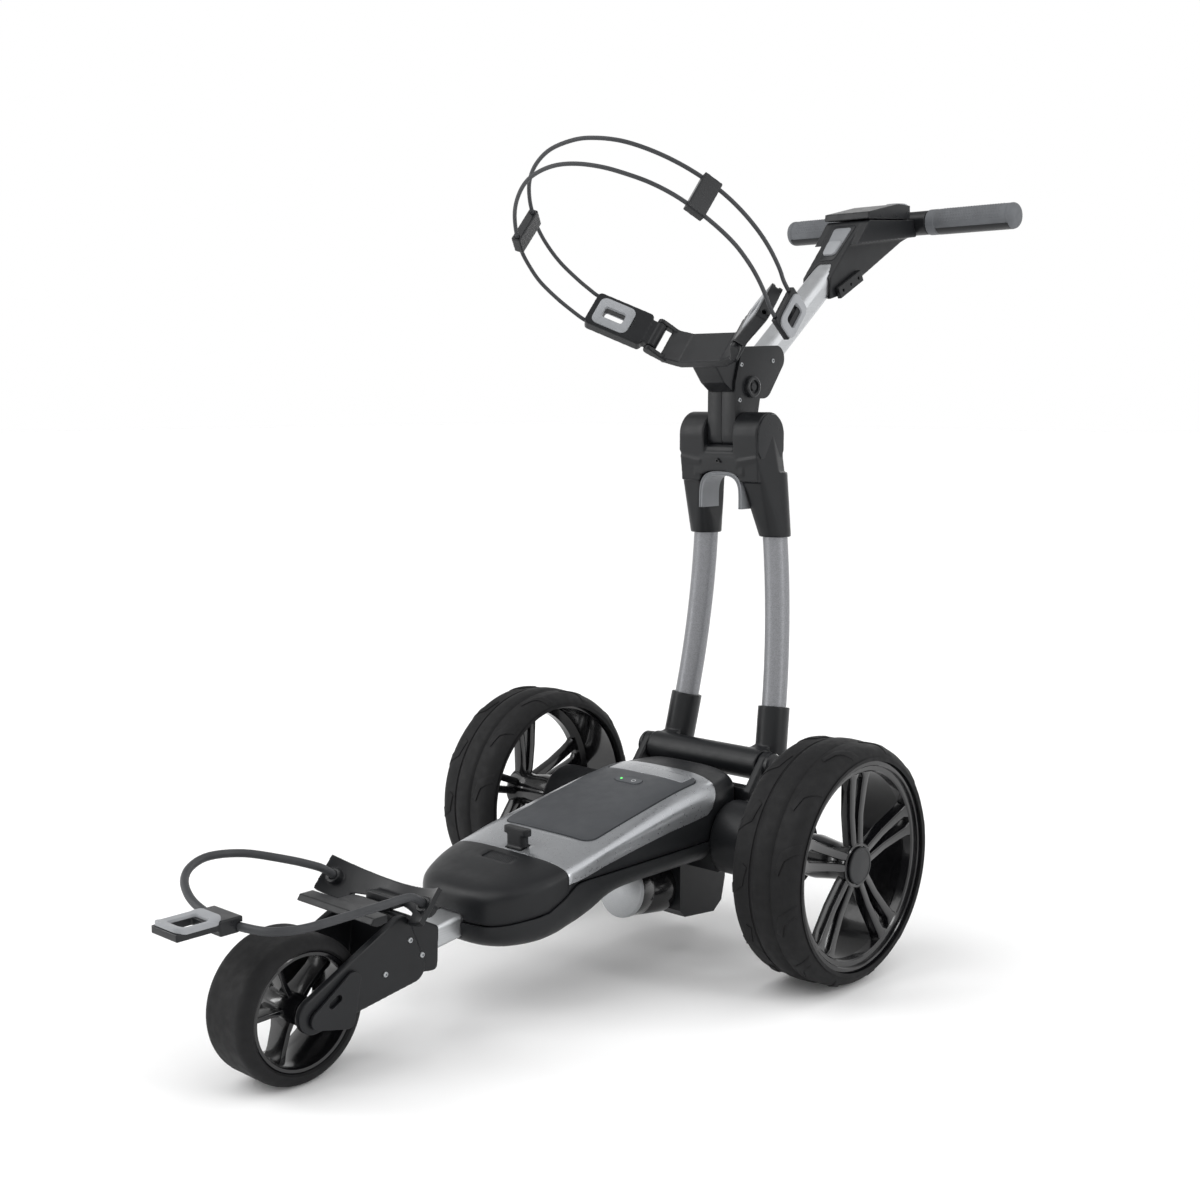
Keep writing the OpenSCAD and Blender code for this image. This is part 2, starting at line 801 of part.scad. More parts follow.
module lower_hinge_pin() {
    at_axle() color("#6f7276") translate([0, barrel_y, barrel_z]) {
        x_rod(hinge_pin_r, barrel_half_l + lug_t + 4);
        for (s = [-1, 1]) translate([s * (barrel_half_l + lug_t + 4.5), 0, 0]) x_rod(10, 3);
    }
}

module hinge_barrel() {
    at_axle() color("#202123") difference() {
        union() {
            translate([0, barrel_y, barrel_z]) x_rod(barrel_r, barrel_half_l);
            for (s = [-1, 1]) for_side(s) {
                leg_foot_end() cylinder(r = socket_r, h = leg_foot_l + 18);
                translate([leg_knee[0] + 2, 0, 0]) x_plate(24) polygon([
                    [barrel_y, barrel_z - 16], [leg_knee[1] - 6, barrel_z - 10],
                    [leg_knee[1] - 6, barrel_z + 26], [barrel_y, barrel_z + 18]
                ]);
            }
        }
        for (s = [-1, 1]) for_side(s) leg_foot_end() translate([0, 0, -20])
            cylinder(r = leg_r + seat_gap / 2, h = 20 + leg_foot_l + seat_gap);
        translate([0, barrel_y, barrel_z]) x_rod(hinge_pin_r + running, barrel_half_l + 10);
    }
}

// Legs are bowed to the rear. A leg's own frame has Z along its chord and Y to the rear.
leg_chord = norm(leg_hip - leg_knee);
leg_half_bend = atan(4 * leg_bow / leg_chord);
leg_steps = 8;
leg_path = concat(
    [[0, -leg_foot_l * sin(leg_half_bend), -leg_foot_l * cos(leg_half_bend)]],
    [for (i = [0:leg_steps]) let (t = i / leg_steps)
        [0, 4 * leg_bow * t * (1 - t), leg_chord * t]],
    [[0, -leg_top_l * sin(leg_half_bend), leg_chord + leg_top_l * cos(leg_half_bend)]]
);

module leg_frame() {
    z = unit(leg_hip - leg_knee);
    x = unit(cross([0, 1, 0], z));
    y = cross(z, x);
    multmatrix([
        [x[0], y[0], z[0], leg_knee[0]], [x[1], y[1], z[1], leg_knee[1]],
        [x[2], y[2], z[2], leg_knee[2]], [0, 0, 0, 1]
    ]) children();
}

// Children point down from the knee, or up from the hip, in line with the tube's end
module leg_foot_end() {
    leg_frame() rotate([180 - leg_half_bend, 0, 0]) children();
}

module leg_top_end() {
    leg_frame() translate([0, 0, leg_chord]) rotate([leg_half_bend, 0, 0]) children();
}

module leg(side) {
    outer = tube_rings(leg_path, leg_r, leg_r, 20, [1, 0, 0]);
    inner = tube_rings(leg_path, leg_r - leg_wall, leg_r - leg_wall, 20, [1, 0, 0]);
    at_axle() color("#8b8d90") for_side(side) leg_frame()
        loop_skin(concat(outer, [for (i = [len(inner) - 1:-1:0]) inner[i]]));
}

module leg_left() { leg(-1); }
module leg_right() { leg(1); }

module yoke() {
    at_axle() color("#222326") difference() {
        union() {
            x_plate(2 * yoke_half_w) hull() {
                translate([hip_y, hip_z]) circle(yoke_r);
                translate([hip_y + 2, 586]) square([2 * yoke_r - 6, 12], center = true);
            }
            for (s = [-1, 1]) for_side(s) leg_top_end() cylinder(r = socket_r, h = leg_top_l + 46);
        }
        for (s = [-1, 1]) for_side(s) leg_top_end() translate([0, 0, -20])
            cylinder(r = leg_r + seat_gap / 2, h = 20 + leg_top_l + seat_gap);
        // slot for the neck, cut away at the rear for the neck's lower edge as it folds
        x_plate(2 * cheek_in) polygon([
            [hip_y - 60, hip_z - neck_round_r - move_gap], [hip_y - 4, hip_z - neck_round_r - move_gap],
            [hip_y + 26, 582], [hip_y + 60, 560], [hip_y + 60, 720], [hip_y - 60, 720]
        ]);
        // arch between the sleeves
        translate([0, hip_y, (arch_top_z + 500) / 2])
            cube([2 * (leg_hip[0] - socket_r) - 12, 110, arch_top_z - 500], center = true);
        translate([0, hip_y, hip_z]) x_rod(hinge_pin_r + running, 100);
    }
}

module yoke_caps() {
    at_axle() color("#2d2e31") for (s = [-1, 1])
        translate([s * (yoke_half_w + seat_gap + 1), 0, 0]) x_plate(2) hull() {
            translate([hip_y, hip_z]) circle(yoke_r - 1);
            translate([hip_y + 2, 615]) circle(yoke_r - 9);
        }
}

module upper_hinge_pin() {
    at_axle() color("#6f7276") translate([0, hip_y, hip_z]) x_rod(hinge_pin_r, yoke_half_w - 1);
}

module arch_latch() {
    at_axle() color("#7c7f83") translate([0, hip_y + 1, latch_z]) difference() {
        translate([-29, -24, 0]) cube([58, 44, latch_h]);
        translate([-20, -30, -1]) cube([40, 60, 3]);
    }
}

// ---------------------------------------------------------------- upper frame

module neck_profile() {
    hull() {
        translate([hip_y, hip_z]) circle(neck_round_r);
        translate([104, 690]) square([26, 20], center = true);
        translate([136, 700]) circle(10);
    }
    hull() {
        translate([104, 696]) square([26, 20], center = true);
        translate([150, 706]) circle(20);
        translate([178, 738]) circle(17);
        translate([112, 742]) circle(10);
    }
}

module neck_halves() {
    at_axle() color("#1f2022") difference() {
        for (s = [-1, 1]) translate([s * (neck_w / 4 + 0.15), 0, 0]) x_plate(neck_w / 2 - 0.3)
            neck_profile();
        translate([0, hip_y, hip_z]) x_rod(hinge_pin_r + running, 60);
        stem_bar(seat_gap);
    }
}

function stem_angle() = atan2(stem_stop[1] - stem_start[1], stem_stop[0] - stem_start[0]);

// Oval bar of the stem, from inside the neck to inside the console
module stem_bar(gap) {
    stem_l = norm(stem_stop - stem_start);
    translate([0, stem_start[0], stem_start[1]]) rotate([stem_angle(), 0, 0])
        rotate([-90, 0, 0]) translate([0, 0, -30 - gap]) linear_extrude(stem_l + 60 + 2 * gap)
            offset(r = 11 + gap, $fn = hull_fn) square([stem_w - 22, stem_h - 22], center = true);
}

module stem() {
    at_axle() color("#a9acb0") difference() {
        stem_bar(0);
        stem_bar(-stem_wall);
    }
}

module upper_cradle() {
    at_axle() color("#1f2022") {
        bag_frame(saddle_y, saddle_z) {
            rotate([90, 0, 0]) linear_extrude(48, center = true) polygon([
                [-60, -12], [-34, -22], [34, -22], [60, -12], [63, -22], [36, -34], [-36, -34], [-63, -22]
            ]);
            for (s = [-1, 1]) for_side(s) {
                for (y = [-22, 22]) translate([0, y, 0]) rotate([90, 0, 0])
                    linear_extrude(6, center = true) hull() {
                    translate([clip_pivot_x, 0]) circle(7, $fn = hull_fn);
                    translate([57, -18]) circle(4, $fn = hull_fn);
                }
                translate([clip_pivot_x, 0, 0]) rotate([90, 0, 0])
                    cylinder(r = clip_pin_r, h = 46, center = true);
            }
        }
        // ribbed neck of the cradle, down to the two halves
        x_plate(neck_w - 6) polygon([
            [54, 727], [72, 706], [90, 694], [90, 707], [99.5, 738], [97, 747], [84, 760]
        ]);
    }
}

// A clip is a paddle that runs up and out from its pivot pin
module clip(side) {
    at_axle() color("#232427") for_side(side) bag_frame(saddle_y, saddle_z)
        translate([clip_pivot_x, 0, 0]) rotate([0, -clip_rise, 0]) difference() {
            union() {
                rotate([90, 0, 0]) cylinder(r = 8, h = 36, center = true);
                translate([4, -18, -7]) cube([10, 36, 14]);
                translate([12, 0, -7.5]) linear_extrude(15) translate([(clip_l - 12) / 2, 0])
                    offset(r = 6) square([clip_l - 24, clip_w - 12], center = true);
            }
            rotate([90, 0, 0]) cylinder(r = clip_pin_r + running, h = 60, center = true);
            translate([50, 0, 4.5]) linear_extrude(10) offset(r = 3) square([26, 12], center = true);
            for (y = [loop_back + 18, loop_back + 18 - loop_gap]) translate([78, y, 0]) rotate([0, 90, 0])
                cylinder(r = upper_cord_d / 2 + 0.3, h = 30);
        }
}

module clip_left() { clip(-1); }
module clip_right() { clip(1); }

module at_handle() {
    translate([0, handle_reach, handle_height]) children();
}

module console_body() {
    at_axle() color("#1d1e20") difference() {
        at_handle() {
            x_plate(46) polygon([
                [-204, -116], [-204, -86], [-131, -5], [-10, 4], [-10, -20], [-30, -28], [-180, -110]
            ]);
            x_plate(72) polygon([[-160, -40], [-131, -5], [-10, 4], [-10, -20]]);
        }
        at_handle() x_rod(grip_r - 1 + seat_gap, 60);
        stem_bar(seat_gap);
    }
}

module console_cover() {
    at_axle() color("#242527") at_handle() x_plate(74)
        polygon([[-135, -4], [-134, 6], [-62, 22], [-30, 22], [-30, 4]]);
}

module accessory_brackets() {
    at_axle() color("#1f2022") at_handle() for (s = [-1, 1])
        translate([s * 26.4, -164, -94]) rotate([console_slope, 0, 0]) difference() {
            translate([-3, -30, -8]) cube([6, 60, 16]);
            for (y = [-20, 0, 20]) translate([0, y, 0]) x_rod(2.2, 5);
        }
}

module t_bar() {
    at_axle() color("#1b1c1e") at_handle() difference() {
        union() {
            x_rod(11, handle_half_l - 8);
            x_rod(grip_r - 1, 52);
            translate([0, dial_y, 6]) cylinder(r = dial_r + 3, h = 16);
        }
        translate([0, dial_y, 17]) cylinder(r = 6.3, h = 10);
    }
}

module grips() {
    at_axle() color("#6d6f72") at_handle() for (s = [-1, 1]) for_side(s) difference() {
        union() {
            x_disc(grip_r, 53, handle_half_l - 6);
            translate([handle_half_l - 6, 0, 0]) rotate([0, 90, 0])
                cylinder(r1 = grip_r, r2 = grip_r - 5, h = 6);
        }
        x_disc(11.05, 50, handle_half_l - 7.9);
    }
}

module dial_ring() {
    at_axle() color("#85888c") at_handle() translate([0, dial_y, 22.5]) difference() {
        cylinder(r = dial_r, h = 6);
        translate([0, 0, -1]) cylinder(r = 6.3, h = 10);
    }
}

module dial_button() {
    at_axle() color("#3a3c3f") at_handle() translate([0, dial_y, 19.5]) cylinder(r = 6, h = 9.5);
}

// ---------------------------------------------------------------- straps

function loop_point(p, off) = loop_origin
    + [p[0], -p[1] * sin(bag_tilt), p[1] * cos(bag_tilt)]
    + off * [0, cos(bag_tilt), sin(bag_tilt)];

module upper_cords(r) {
    bag_axis = [0, cos(bag_tilt), sin(bag_tilt)];
    skin(tube_rings([for (p = rear_loop) loop_point(p, loop_back)], r, r, 8, bag_axis));
    skin(tube_rings([for (p = front_loop) loop_point(p, loop_back - loop_gap)], r, r, 8, bag_axis));
}

module upper_strap() {
    at_axle() color("#333538") upper_cords(upper_cord_d / 2);
}

// Block at a point of the loops, turned to the loop's direction there
module loop_block(p, turn) {
    at_axle() translate(loop_point(p, loop_back - loop_gap / 2))
        rotate([bag_tilt - 90, 0, 0]) rotate([0, 0, turn]) children();
}

module strap_fittings() {
    color("#232427") difference() {
        union() {
            loop_block([142, 167], -30) spacer();
            loop_block([-155, 143], 25) spacer();
            loop_block([155, -24], 0) difference() {
                cube([8, 34, loop_gap + 12], center = true);
                translate([0, -4, 0]) cube([12, 16, 28], center = true);
            }
        }
        at_axle() upper_cords(upper_cord_d / 2 + 0.3);
    }
}

module spacer() {
    cube([12, 24, loop_gap + 10], center = true);
}

module lower_cord(r) {
    skin(tube_rings([for (p = lower_loop) p + [0, front_y, 0]], r, r, 10, [0, 0, 1]));
}

module lower_strap() {
    color("#3a3c3f") at_axle() lower_cord(lower_cord_d / 2);
}

module lower_buckle() {
    color("#232427") at_axle() difference() {
        translate([-8, front_y - 72, 180]) {
            translate([-24, -13, -8]) cube([48, 26, 16]);
            difference() {
                translate([-22, -60, -2]) cube([44, 50, 8]);
                translate([-13, -50, -10]) cube([26, 30, 20]);
            }
        }
        lower_cord(lower_cord_d / 2 + 0.3);
    }
}

lower_shell();
nose_cover();
trim_surround();
rear_housing();
gearbox_case();
motor_case();
motor_end_cap();
front_tube();
fork();
front_axle();
lower_cradle();
rest_foot();
battery_tray();
control_board();
axle_bearings();
lower_hinge_pin();
battery_case();
battery_cells();
battery_button();
battery_handle();
battery_plug();
axle_shaft();
drive_gear();
layshaft();
motor_rotor();
rear_tyre_left();
rear_tyre_right();
rear_rim_left();
rear_rim_right();
hub_cap_left();
hub_cap_right();
freewheel_left();
freewheel_right();
front_tyre();
front_rim();
front_bearings();
axle_lever();
hinge_barrel();
leg_left();
leg_right();
yoke();
yoke_caps();
arch_latch();
upper_hinge_pin();
neck_halves();
upper_cradle();
stem();
console_body();
console_cover();
accessory_brackets();
t_bar();
grips();
dial_ring();
dial_button();
clip_left();
clip_right();
upper_strap();
strap_fittings();
lower_strap();
lower_buckle();
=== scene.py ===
"""Finish of the electric golf trolley: rubber, moulded plastic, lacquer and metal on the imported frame."""

import math

import bmesh
import bpy
from bpy.props import FloatProperty, FloatVectorProperty, IntProperty, PointerProperty
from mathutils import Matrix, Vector


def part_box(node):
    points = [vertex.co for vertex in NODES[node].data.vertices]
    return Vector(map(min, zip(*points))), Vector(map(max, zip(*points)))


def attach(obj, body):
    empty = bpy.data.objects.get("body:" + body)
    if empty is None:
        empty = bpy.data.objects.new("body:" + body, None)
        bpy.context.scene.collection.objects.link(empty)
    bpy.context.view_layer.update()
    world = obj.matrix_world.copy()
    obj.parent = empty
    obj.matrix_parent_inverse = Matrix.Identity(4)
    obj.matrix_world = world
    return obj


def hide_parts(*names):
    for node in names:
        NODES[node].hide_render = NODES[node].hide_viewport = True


bl_info = {
    "name": "Electric golf trolley finish",
    "version": (1, 0, 0),
    "blender": (4, 5, 0),
    "location": "View3D > Sidebar > Trolley",
    "description": "Builds the tyres, mouldings, straps and finishes of a folding golf trolley",
    "category": "Object",
}

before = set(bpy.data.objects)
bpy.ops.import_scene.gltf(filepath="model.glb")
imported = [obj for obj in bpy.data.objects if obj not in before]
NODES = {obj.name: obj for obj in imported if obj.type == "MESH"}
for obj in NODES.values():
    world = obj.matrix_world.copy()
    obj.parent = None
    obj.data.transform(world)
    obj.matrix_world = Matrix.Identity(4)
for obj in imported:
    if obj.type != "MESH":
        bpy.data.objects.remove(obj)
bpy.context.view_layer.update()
MM = 0.001
SIDES = ((-1, "left"), (1, "right"))


def corners(node):
    """Low and high corner of a CAD node's box, in metres."""
    return [Vector(corner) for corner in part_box(node)]


def middle(node):
    """Centre of a CAD node's box, in metres."""
    low, high = corners(node)
    return (low + high) / 2


AXLE = middle("axle_shaft")
FRONT_AXLE = middle("front_axle")
HANDLE = middle("grips")


def at(x, y, z):
    """Point in metres from millimetres: y is measured from the rear axle, z from the ground."""
    return Vector((x * MM, AXLE.y + y * MM, z * MM))


# ---------------------------------------------------------------- node and mesh helpers


def linear(hex_colour):
    """Linear colour of an sRGB hex value."""
    channels = [int(hex_colour[i:i + 2], 16) / 255 for i in (0, 2, 4)]
    return tuple(c / 12.92 if c <= 0.04045 else ((c + 0.055) / 1.055) ** 2.4 for c in channels)


def add_node(tree, kind, settings=None, inputs=None):
    """Adds a node; inputs hold either a value or the output socket that feeds them."""
    node = tree.nodes.new(kind)
    for name, value in (settings or {}).items():
        setattr(node, name, value)
    for name, value in (inputs or {}).items():
        socket = node.inputs[name]
        if isinstance(value, bpy.types.NodeSocket):
            tree.links.new(value, socket)
        else:
            socket.default_value = value
    return node


def new_material(name):
    """Material with a bare tree, and its object coordinates."""
    material = bpy.data.materials.new(name)
    material.use_nodes = True
    tree = material.node_tree
    tree.nodes.clear()
    coordinates = add_node(tree, "ShaderNodeTexCoord").outputs["Object"]
    return material, tree, coordinates


def surface(tree, colour, roughness, normal=None, **constants):
    """Principled surface: colour and roughness are values or sockets, the rest are constants."""
    inputs = {"Base Color": colour, "Roughness": roughness}
    if not isinstance(colour, bpy.types.NodeSocket):
        inputs["Base Color"] = (*colour, 1)
    if normal:
        inputs["Normal"] = normal
    for label, value in constants.items():
        inputs[label.replace("_", " ")] = value
    shader = add_node(tree, "ShaderNodeBsdfPrincipled", inputs=inputs)
    add_node(tree, "ShaderNodeOutputMaterial", inputs={"Surface": shader.outputs["BSDF"]})


def mottled(tree, coordinates, size_mm, low, high, detail=3.0):
    """Noise of a real size in millimetres, spread between two values."""
    noise = add_node(tree, "ShaderNodeTexNoise", inputs={
        "Vector": coordinates, "Scale": 1 / (size_mm * MM), "Detail": detail})
    spread = add_node(tree, "ShaderNodeMapRange", inputs={
        "Value": noise.outputs["Fac"], "From Min": 0.3, "From Max": 0.7, "To Min": low, "To Max": high})
    return spread.outputs["Result"]


def tinted(tree, factor, colour, lift):
    """Colour that wanders between itself and a lighter shade of itself."""
    mix = add_node(tree, "ShaderNodeMix", {"data_type": "RGBA"}, {"Factor": factor})
    mix.inputs[6].default_value = (*colour, 1)
    mix.inputs[7].default_value = (*(min(1, c * lift) for c in colour), 1)
    return mix.outputs[2]


def relief(tree, height, depth_mm):
    """Normal of a height pattern that stands a real depth proud."""
    bump = add_node(tree, "ShaderNodeBump", inputs={
        "Height": height, "Distance": depth_mm * MM, "Strength": 1.0})
    return bump.outputs["Normal"]


# ---------------------------------------------------------------- finishes


def grained_plastic(name, colour, roughness=0.42, grain_mm=0.9, depth_mm=0.018):
    """Moulded ABS or nylon: a spark-eroded tool leaves a fine even grain and a soft broad gloss."""
    material, tree, coordinates = new_material(name)
    tone = mottled(tree, coordinates, 38, 0, 1)
    gloss = mottled(tree, coordinates, 14, roughness - 0.04, roughness + 0.05)
    grain = mottled(tree, coordinates, grain_mm, 0, 1, 2.0)
    surface(tree, tinted(tree, tone, colour, 1.18), gloss, relief(tree, grain, depth_mm),
            Specular_IOR_Level=0.26)
    return material


def gloss_plastic(name, colour):
    """Polished moulded nylon: mirror-smooth tool faces, a few fine handling marks in the gloss."""
    material, tree, coordinates = new_material(name)
    gloss = mottled(tree, coordinates, 9, 0.13, 0.22)
    tone = mottled(tree, coordinates, 30, 0, 1)
    surface(tree, tinted(tree, tone, colour, 1.25), gloss, Specular_IOR_Level=0.4, Coat_Weight=0.3,
            Coat_Roughness=0.05)
    return material


def metallic_lacquer(name, colour, roughness=0.3, flake_mm=0.8):
    """Sprayed silver lacquer: fine aluminium flake under a clear coat gives a soft, grainy glitter."""
    material, tree, coordinates = new_material(name)
    flake = mottled(tree, coordinates, flake_mm, 0, 1, 2.0)
    gloss = mottled(tree, coordinates, 5, roughness - 0.04, roughness + 0.06)
    surface(tree, tinted(tree, flake, colour, 1.22), gloss, Metallic=0.75, Coat_Weight=0.4,
            Coat_Roughness=0.1)
    return material


def anodised_aluminium(name, colour, along="Y"):
    """Extruded, etched and anodised tube: faint drawing lines run along it, under a satin skin."""
    material, tree, coordinates = new_material(name)
    stretch = {"X": (0.02, 1, 1), "Y": (1, 0.02, 1), "Z": (1, 1, 0.02)}[along]
    drawn = add_node(tree, "ShaderNodeMapping", inputs={"Vector": coordinates, "Scale": stretch})
    lines = mottled(tree, drawn.outputs["Vector"], 0.9, 0, 1, 2.0)
    gloss = mottled(tree, coordinates, 12, 0.3, 0.4)
    surface(tree, tinted(tree, lines, colour, 1.12), gloss, relief(tree, lines, 0.006), Metallic=0.9)
    return material


def powder_coat(name, colour):
    """Baked metallic powder: a slight orange peel a few millimetres across, and a speckle of mica."""
    material, tree, coordinates = new_material(name)
    peel = mottled(tree, coordinates, 2.4, 0, 1, 1.0)
    mica = add_node(tree, "ShaderNodeTexVoronoi", inputs={"Vector": coordinates, "Scale": 1 / (0.9 * MM)})
    speck = add_node(tree, "ShaderNodeSeparateColor", inputs={"Color": mica.outputs["Color"]})
    gloss = mottled(tree, coordinates, 6, 0.34, 0.44)
    surface(tree, tinted(tree, speck.outputs["Green"], colour, 1.35), gloss,
            relief(tree, peel, 0.02), Metallic=0.55)
    return material


def vulcanised_rubber(name, colour, roughness=0.62, grain_mm=1.4, depth_mm=0.02):
    """Moulded rubber: dull, slightly greyed where the bloom sits, with a fine leathery grain."""
    material, tree, coordinates = new_material(name)
    bloom = mottled(tree, coordinates, 24, 0, 1, 4.0)
    gloss = mottled(tree, coordinates, 10, roughness - 0.07, roughness + 0.08)
    grain = mottled(tree, coordinates, grain_mm, 0, 1, 3.0)
    surface(tree, tinted(tree, bloom, colour, 1.25), gloss, relief(tree, grain, depth_mm),
            Specular_IOR_Level=0.2)
    return material


def ground_metal(name, colour, roughness=0.28):
    """Ground or turned metal: fine concentric tool marks that catch a streak of light."""
    material, tree, coordinates = new_material(name)
    marks = mottled(tree, coordinates, 0.8, 0, 1, 2.0)
    gloss = mottled(tree, coordinates, 4, roughness - 0.05, roughness + 0.08)
    surface(tree, tinted(tree, marks, colour, 1.15), gloss, relief(tree, marks, 0.004), Metallic=1.0)
    return material


def lit_lens(name, colour):
    """Small moulded indicator lens: clear tinted acrylic with a lamp behind it."""
    material, tree, _ = new_material(name)
    surface(tree, colour, 0.2, Emission_Color=(*colour, 1), Emission_Strength=1.6)
    return material


def printed_ink(name, colour):
    """Screen-printed ink: a thin even film, a little duller than the plastic it lies on."""
    material, tree, coordinates = new_material(name)
    surface(tree, colour, mottled(tree, coordinates, 3, 0.45, 0.6))
    return material


def make_finishes(look):
    """All finishes by name, with the colours that a user may change."""
    return {
        "shell": grained_plastic("grained black ABS", look.plastic, 0.4),
        "nylon": grained_plastic("glass-filled black nylon", look.plastic, 0.36, 1.2, 0.015),
        "battery": grained_plastic("dark grey satin ABS", look.battery, 0.4, 0.7, 0.02),
        "cap": grained_plastic("satin black cap", linear("1b1c1e"), 0.3, 0.8, 0.008),
        "grey": grained_plastic("mid-grey moulding", linear("77797c"), 0.42),
        "button": vulcanised_rubber("soft grey button", linear("4b4d50"), 0.5, 0.8),
        "gloss": gloss_plastic("glossy black nylon rim", linear("0e0e10")),
        "silver": metallic_lacquer("silver lacquer", look.lacquer),
        "tube": anodised_aluminium("anodised aluminium tube", linear("b6b8ba")),
        "leg": powder_coat("grey metallic powder coat", look.leg),
        "tyre": vulcanised_rubber("black tyre rubber", linear("161617"), 0.66),
        "strap": vulcanised_rubber("dark strap rubber", linear("3a3b3d"), 0.46, 6.0, 0.003),
        "grip": vulcanised_rubber("grey grip rubber", look.grip, 0.58, 0.9),
        "steel": ground_metal("ground steel", linear("a2a4a6")),
        "can": gloss_plastic("black lacquered motor can", linear("151516")),
        "disc": metallic_lacquer("satin motor disc", linear("a9abad"), 0.42, 0.6),
        "bronze": ground_metal("gear bronze", linear("b58d4b"), 0.32),
        "copper": ground_metal("wound copper", linear("b06a3c"), 0.36),
        "cells": gloss_plastic("blue cell wrap", linear("3567a0")),
        "board": gloss_plastic("green lacquered board", linear("1d6b3c")),
        "lamp": lit_lens("green lamp lens", linear("4fd05a")),
        "ink": printed_ink("pale printed ink", linear("c9cacb")),
        "window": grained_plastic("mid-grey clip window", linear("8b8d90"), 0.38),
    }


FINISH = {}
CAD_FINISHES = {
    "steel": ("front_axle", "axle_shaft", "axle_bearings", "upper_hinge_pin",
              "freewheel_left", "freewheel_right", "front_bearings"),
    "bronze": ("drive_gear", "layshaft"),
    "copper": ("motor_rotor",),
    "tube": ("front_tube", "stem"),
    "cells": ("battery_cells",),
    "board": ("control_board",),
    "nylon": ("battery_tray", "gearbox_case"),
}


# ---------------------------------------------------------------- piece helpers


def link_piece(name, mesh):
    """New object of a mesh, in the scene."""
    piece = bpy.data.objects.new(name, mesh)
    bpy.context.scene.collection.objects.link(piece)
    return piece


def mesh_piece(name, points, faces):
    """New piece from points in metres and faces."""
    mesh = bpy.data.meshes.new(name)
    mesh.from_pydata([tuple(p) for p in points], [], faces)
    return link_piece(name, mesh)


def applied(piece):
    """Turns a piece's modifiers into its plain mesh."""
    evaluated = piece.evaluated_get(bpy.context.evaluated_depsgraph_get())
    mesh = bpy.data.meshes.new_from_object(evaluated)
    piece.modifiers.clear()
    piece.data = mesh
    return piece


def tidied(piece, sharp_deg=32.0, outward=True):
    """Merges doubles, points faces outwards and shades smooth except over sharp edges."""
    mesh = bmesh.new()
    mesh.from_mesh(piece.data)
    bmesh.ops.remove_doubles(mesh, verts=mesh.verts, dist=2e-6)
    if outward:
        bmesh.ops.recalc_face_normals(mesh, faces=mesh.faces)
    limit = math.radians(sharp_deg)
    for face in mesh.faces:
        face.smooth = True
    for edge in mesh.edges:
        edge.smooth = len(edge.link_faces) == 2 and edge.calc_face_angle(0) < limit
    mesh.to_mesh(piece.data)
    mesh.free()
    return piece


def dress(piece, body, finish, slot, *replaced):
    """Gives a piece its finish and its body, and hides the CAD nodes that it stands for."""
    piece.data.materials.clear()
    piece.data.materials.append(FINISH[finish])
    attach(piece, body)
    if replaced:
        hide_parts(*replaced)
    return piece


def node_copy(node):
    """Copy of a CAD node, to be cut and rounded."""
    return tidied(link_piece(node + "_moulding", NODES[node].data.copy()))


def softened(piece, voxel_mm, passes):
    """Rounds a whole piece as a mould does: rebuilt from small voxels, then smoothed."""
    remesh = piece.modifiers.new("round", "REMESH")
    remesh.mode = "VOXEL"
    remesh.voxel_size = voxel_mm * MM
    smooth = piece.modifiers.new("soften", "SMOOTH")
    smooth.factor = 0.5
    smooth.iterations = passes
    applied(piece)
    return tidied(piece, 60)


def moulded(node, voxel_mm, passes, body, finish, slot):
    """Moulding with softly rounded edges, grown from a CAD node of the same shape."""
    return dress(softened(node_copy(node), voxel_mm, passes), body, finish, slot, node)


def bevelled(piece, width_mm, segments=3, angle_deg=34.0):
    """Rounds a piece's hard edges by a real width."""
    bevel = piece.modifiers.new("edges", "BEVEL")
    bevel.width = width_mm * MM
    bevel.segments = segments
    bevel.limit_method = "ANGLE"
    bevel.angle_limit = math.radians(angle_deg)
    applied(piece)
    return tidied(piece, 40)


def side_faces(count, size, start=0):
    """Faces between neighbouring rings: count rings of size points, from point start on."""
    return [(start + i * size + j, start + i * size + (j + 1) % size,
             start + (i + 1) * size + (j + 1) % size, start + (i + 1) * size + j)
            for i in range(count - 1) for j in range(size)]


def end_faces(count, size):
    """Faces that close the first and the last of count rings."""
    return [tuple(range(size - 1, -1, -1)), tuple((count - 1) * size + j for j in range(size))]


def turned(name, profile, centre, direction, steps=96):
    """Turned piece: profile of (radius, along) in mm about a line through centre."""
    turn = Vector((0, 0, 1)).rotation_difference(Vector(direction)).to_matrix()
    points = []
    faces = []
    for step in range(steps):
        angle = 2 * math.pi * step / steps
        for radius, along in profile:
            local = Vector((radius * math.cos(angle), radius * math.sin(angle), along)) * MM
            points.append(centre + turn @ local)
    size = len(profile)
    for step in range(steps):
        following = (step + 1) % steps
        for i in range(size - 1):
            faces.append((step * size + i, step * size + i + 1,
                          following * size + i + 1, following * size + i))
    piece = mesh_piece(name, points, faces)
    return tidied(piece)


def rod(name, radius, reach, centre, steps):
    """Round rod across the trolley, with a reach on either side of its centre."""
    profile = [(0.01, -reach), (radius, -reach), (radius, reach), (0.01, reach)]
    return turned(name, profile, centre, (1, 0, 0), steps)


def arc(centre, radius, start_deg, end_deg, steps=6):
    """Points of an arc in a profile."""
    angles = [math.radians(start_deg + (end_deg - start_deg) * i / steps) for i in range(steps + 1)]
    return [(centre[0] + radius * math.cos(a), centre[1] + radius * math.sin(a)) for a in angles]


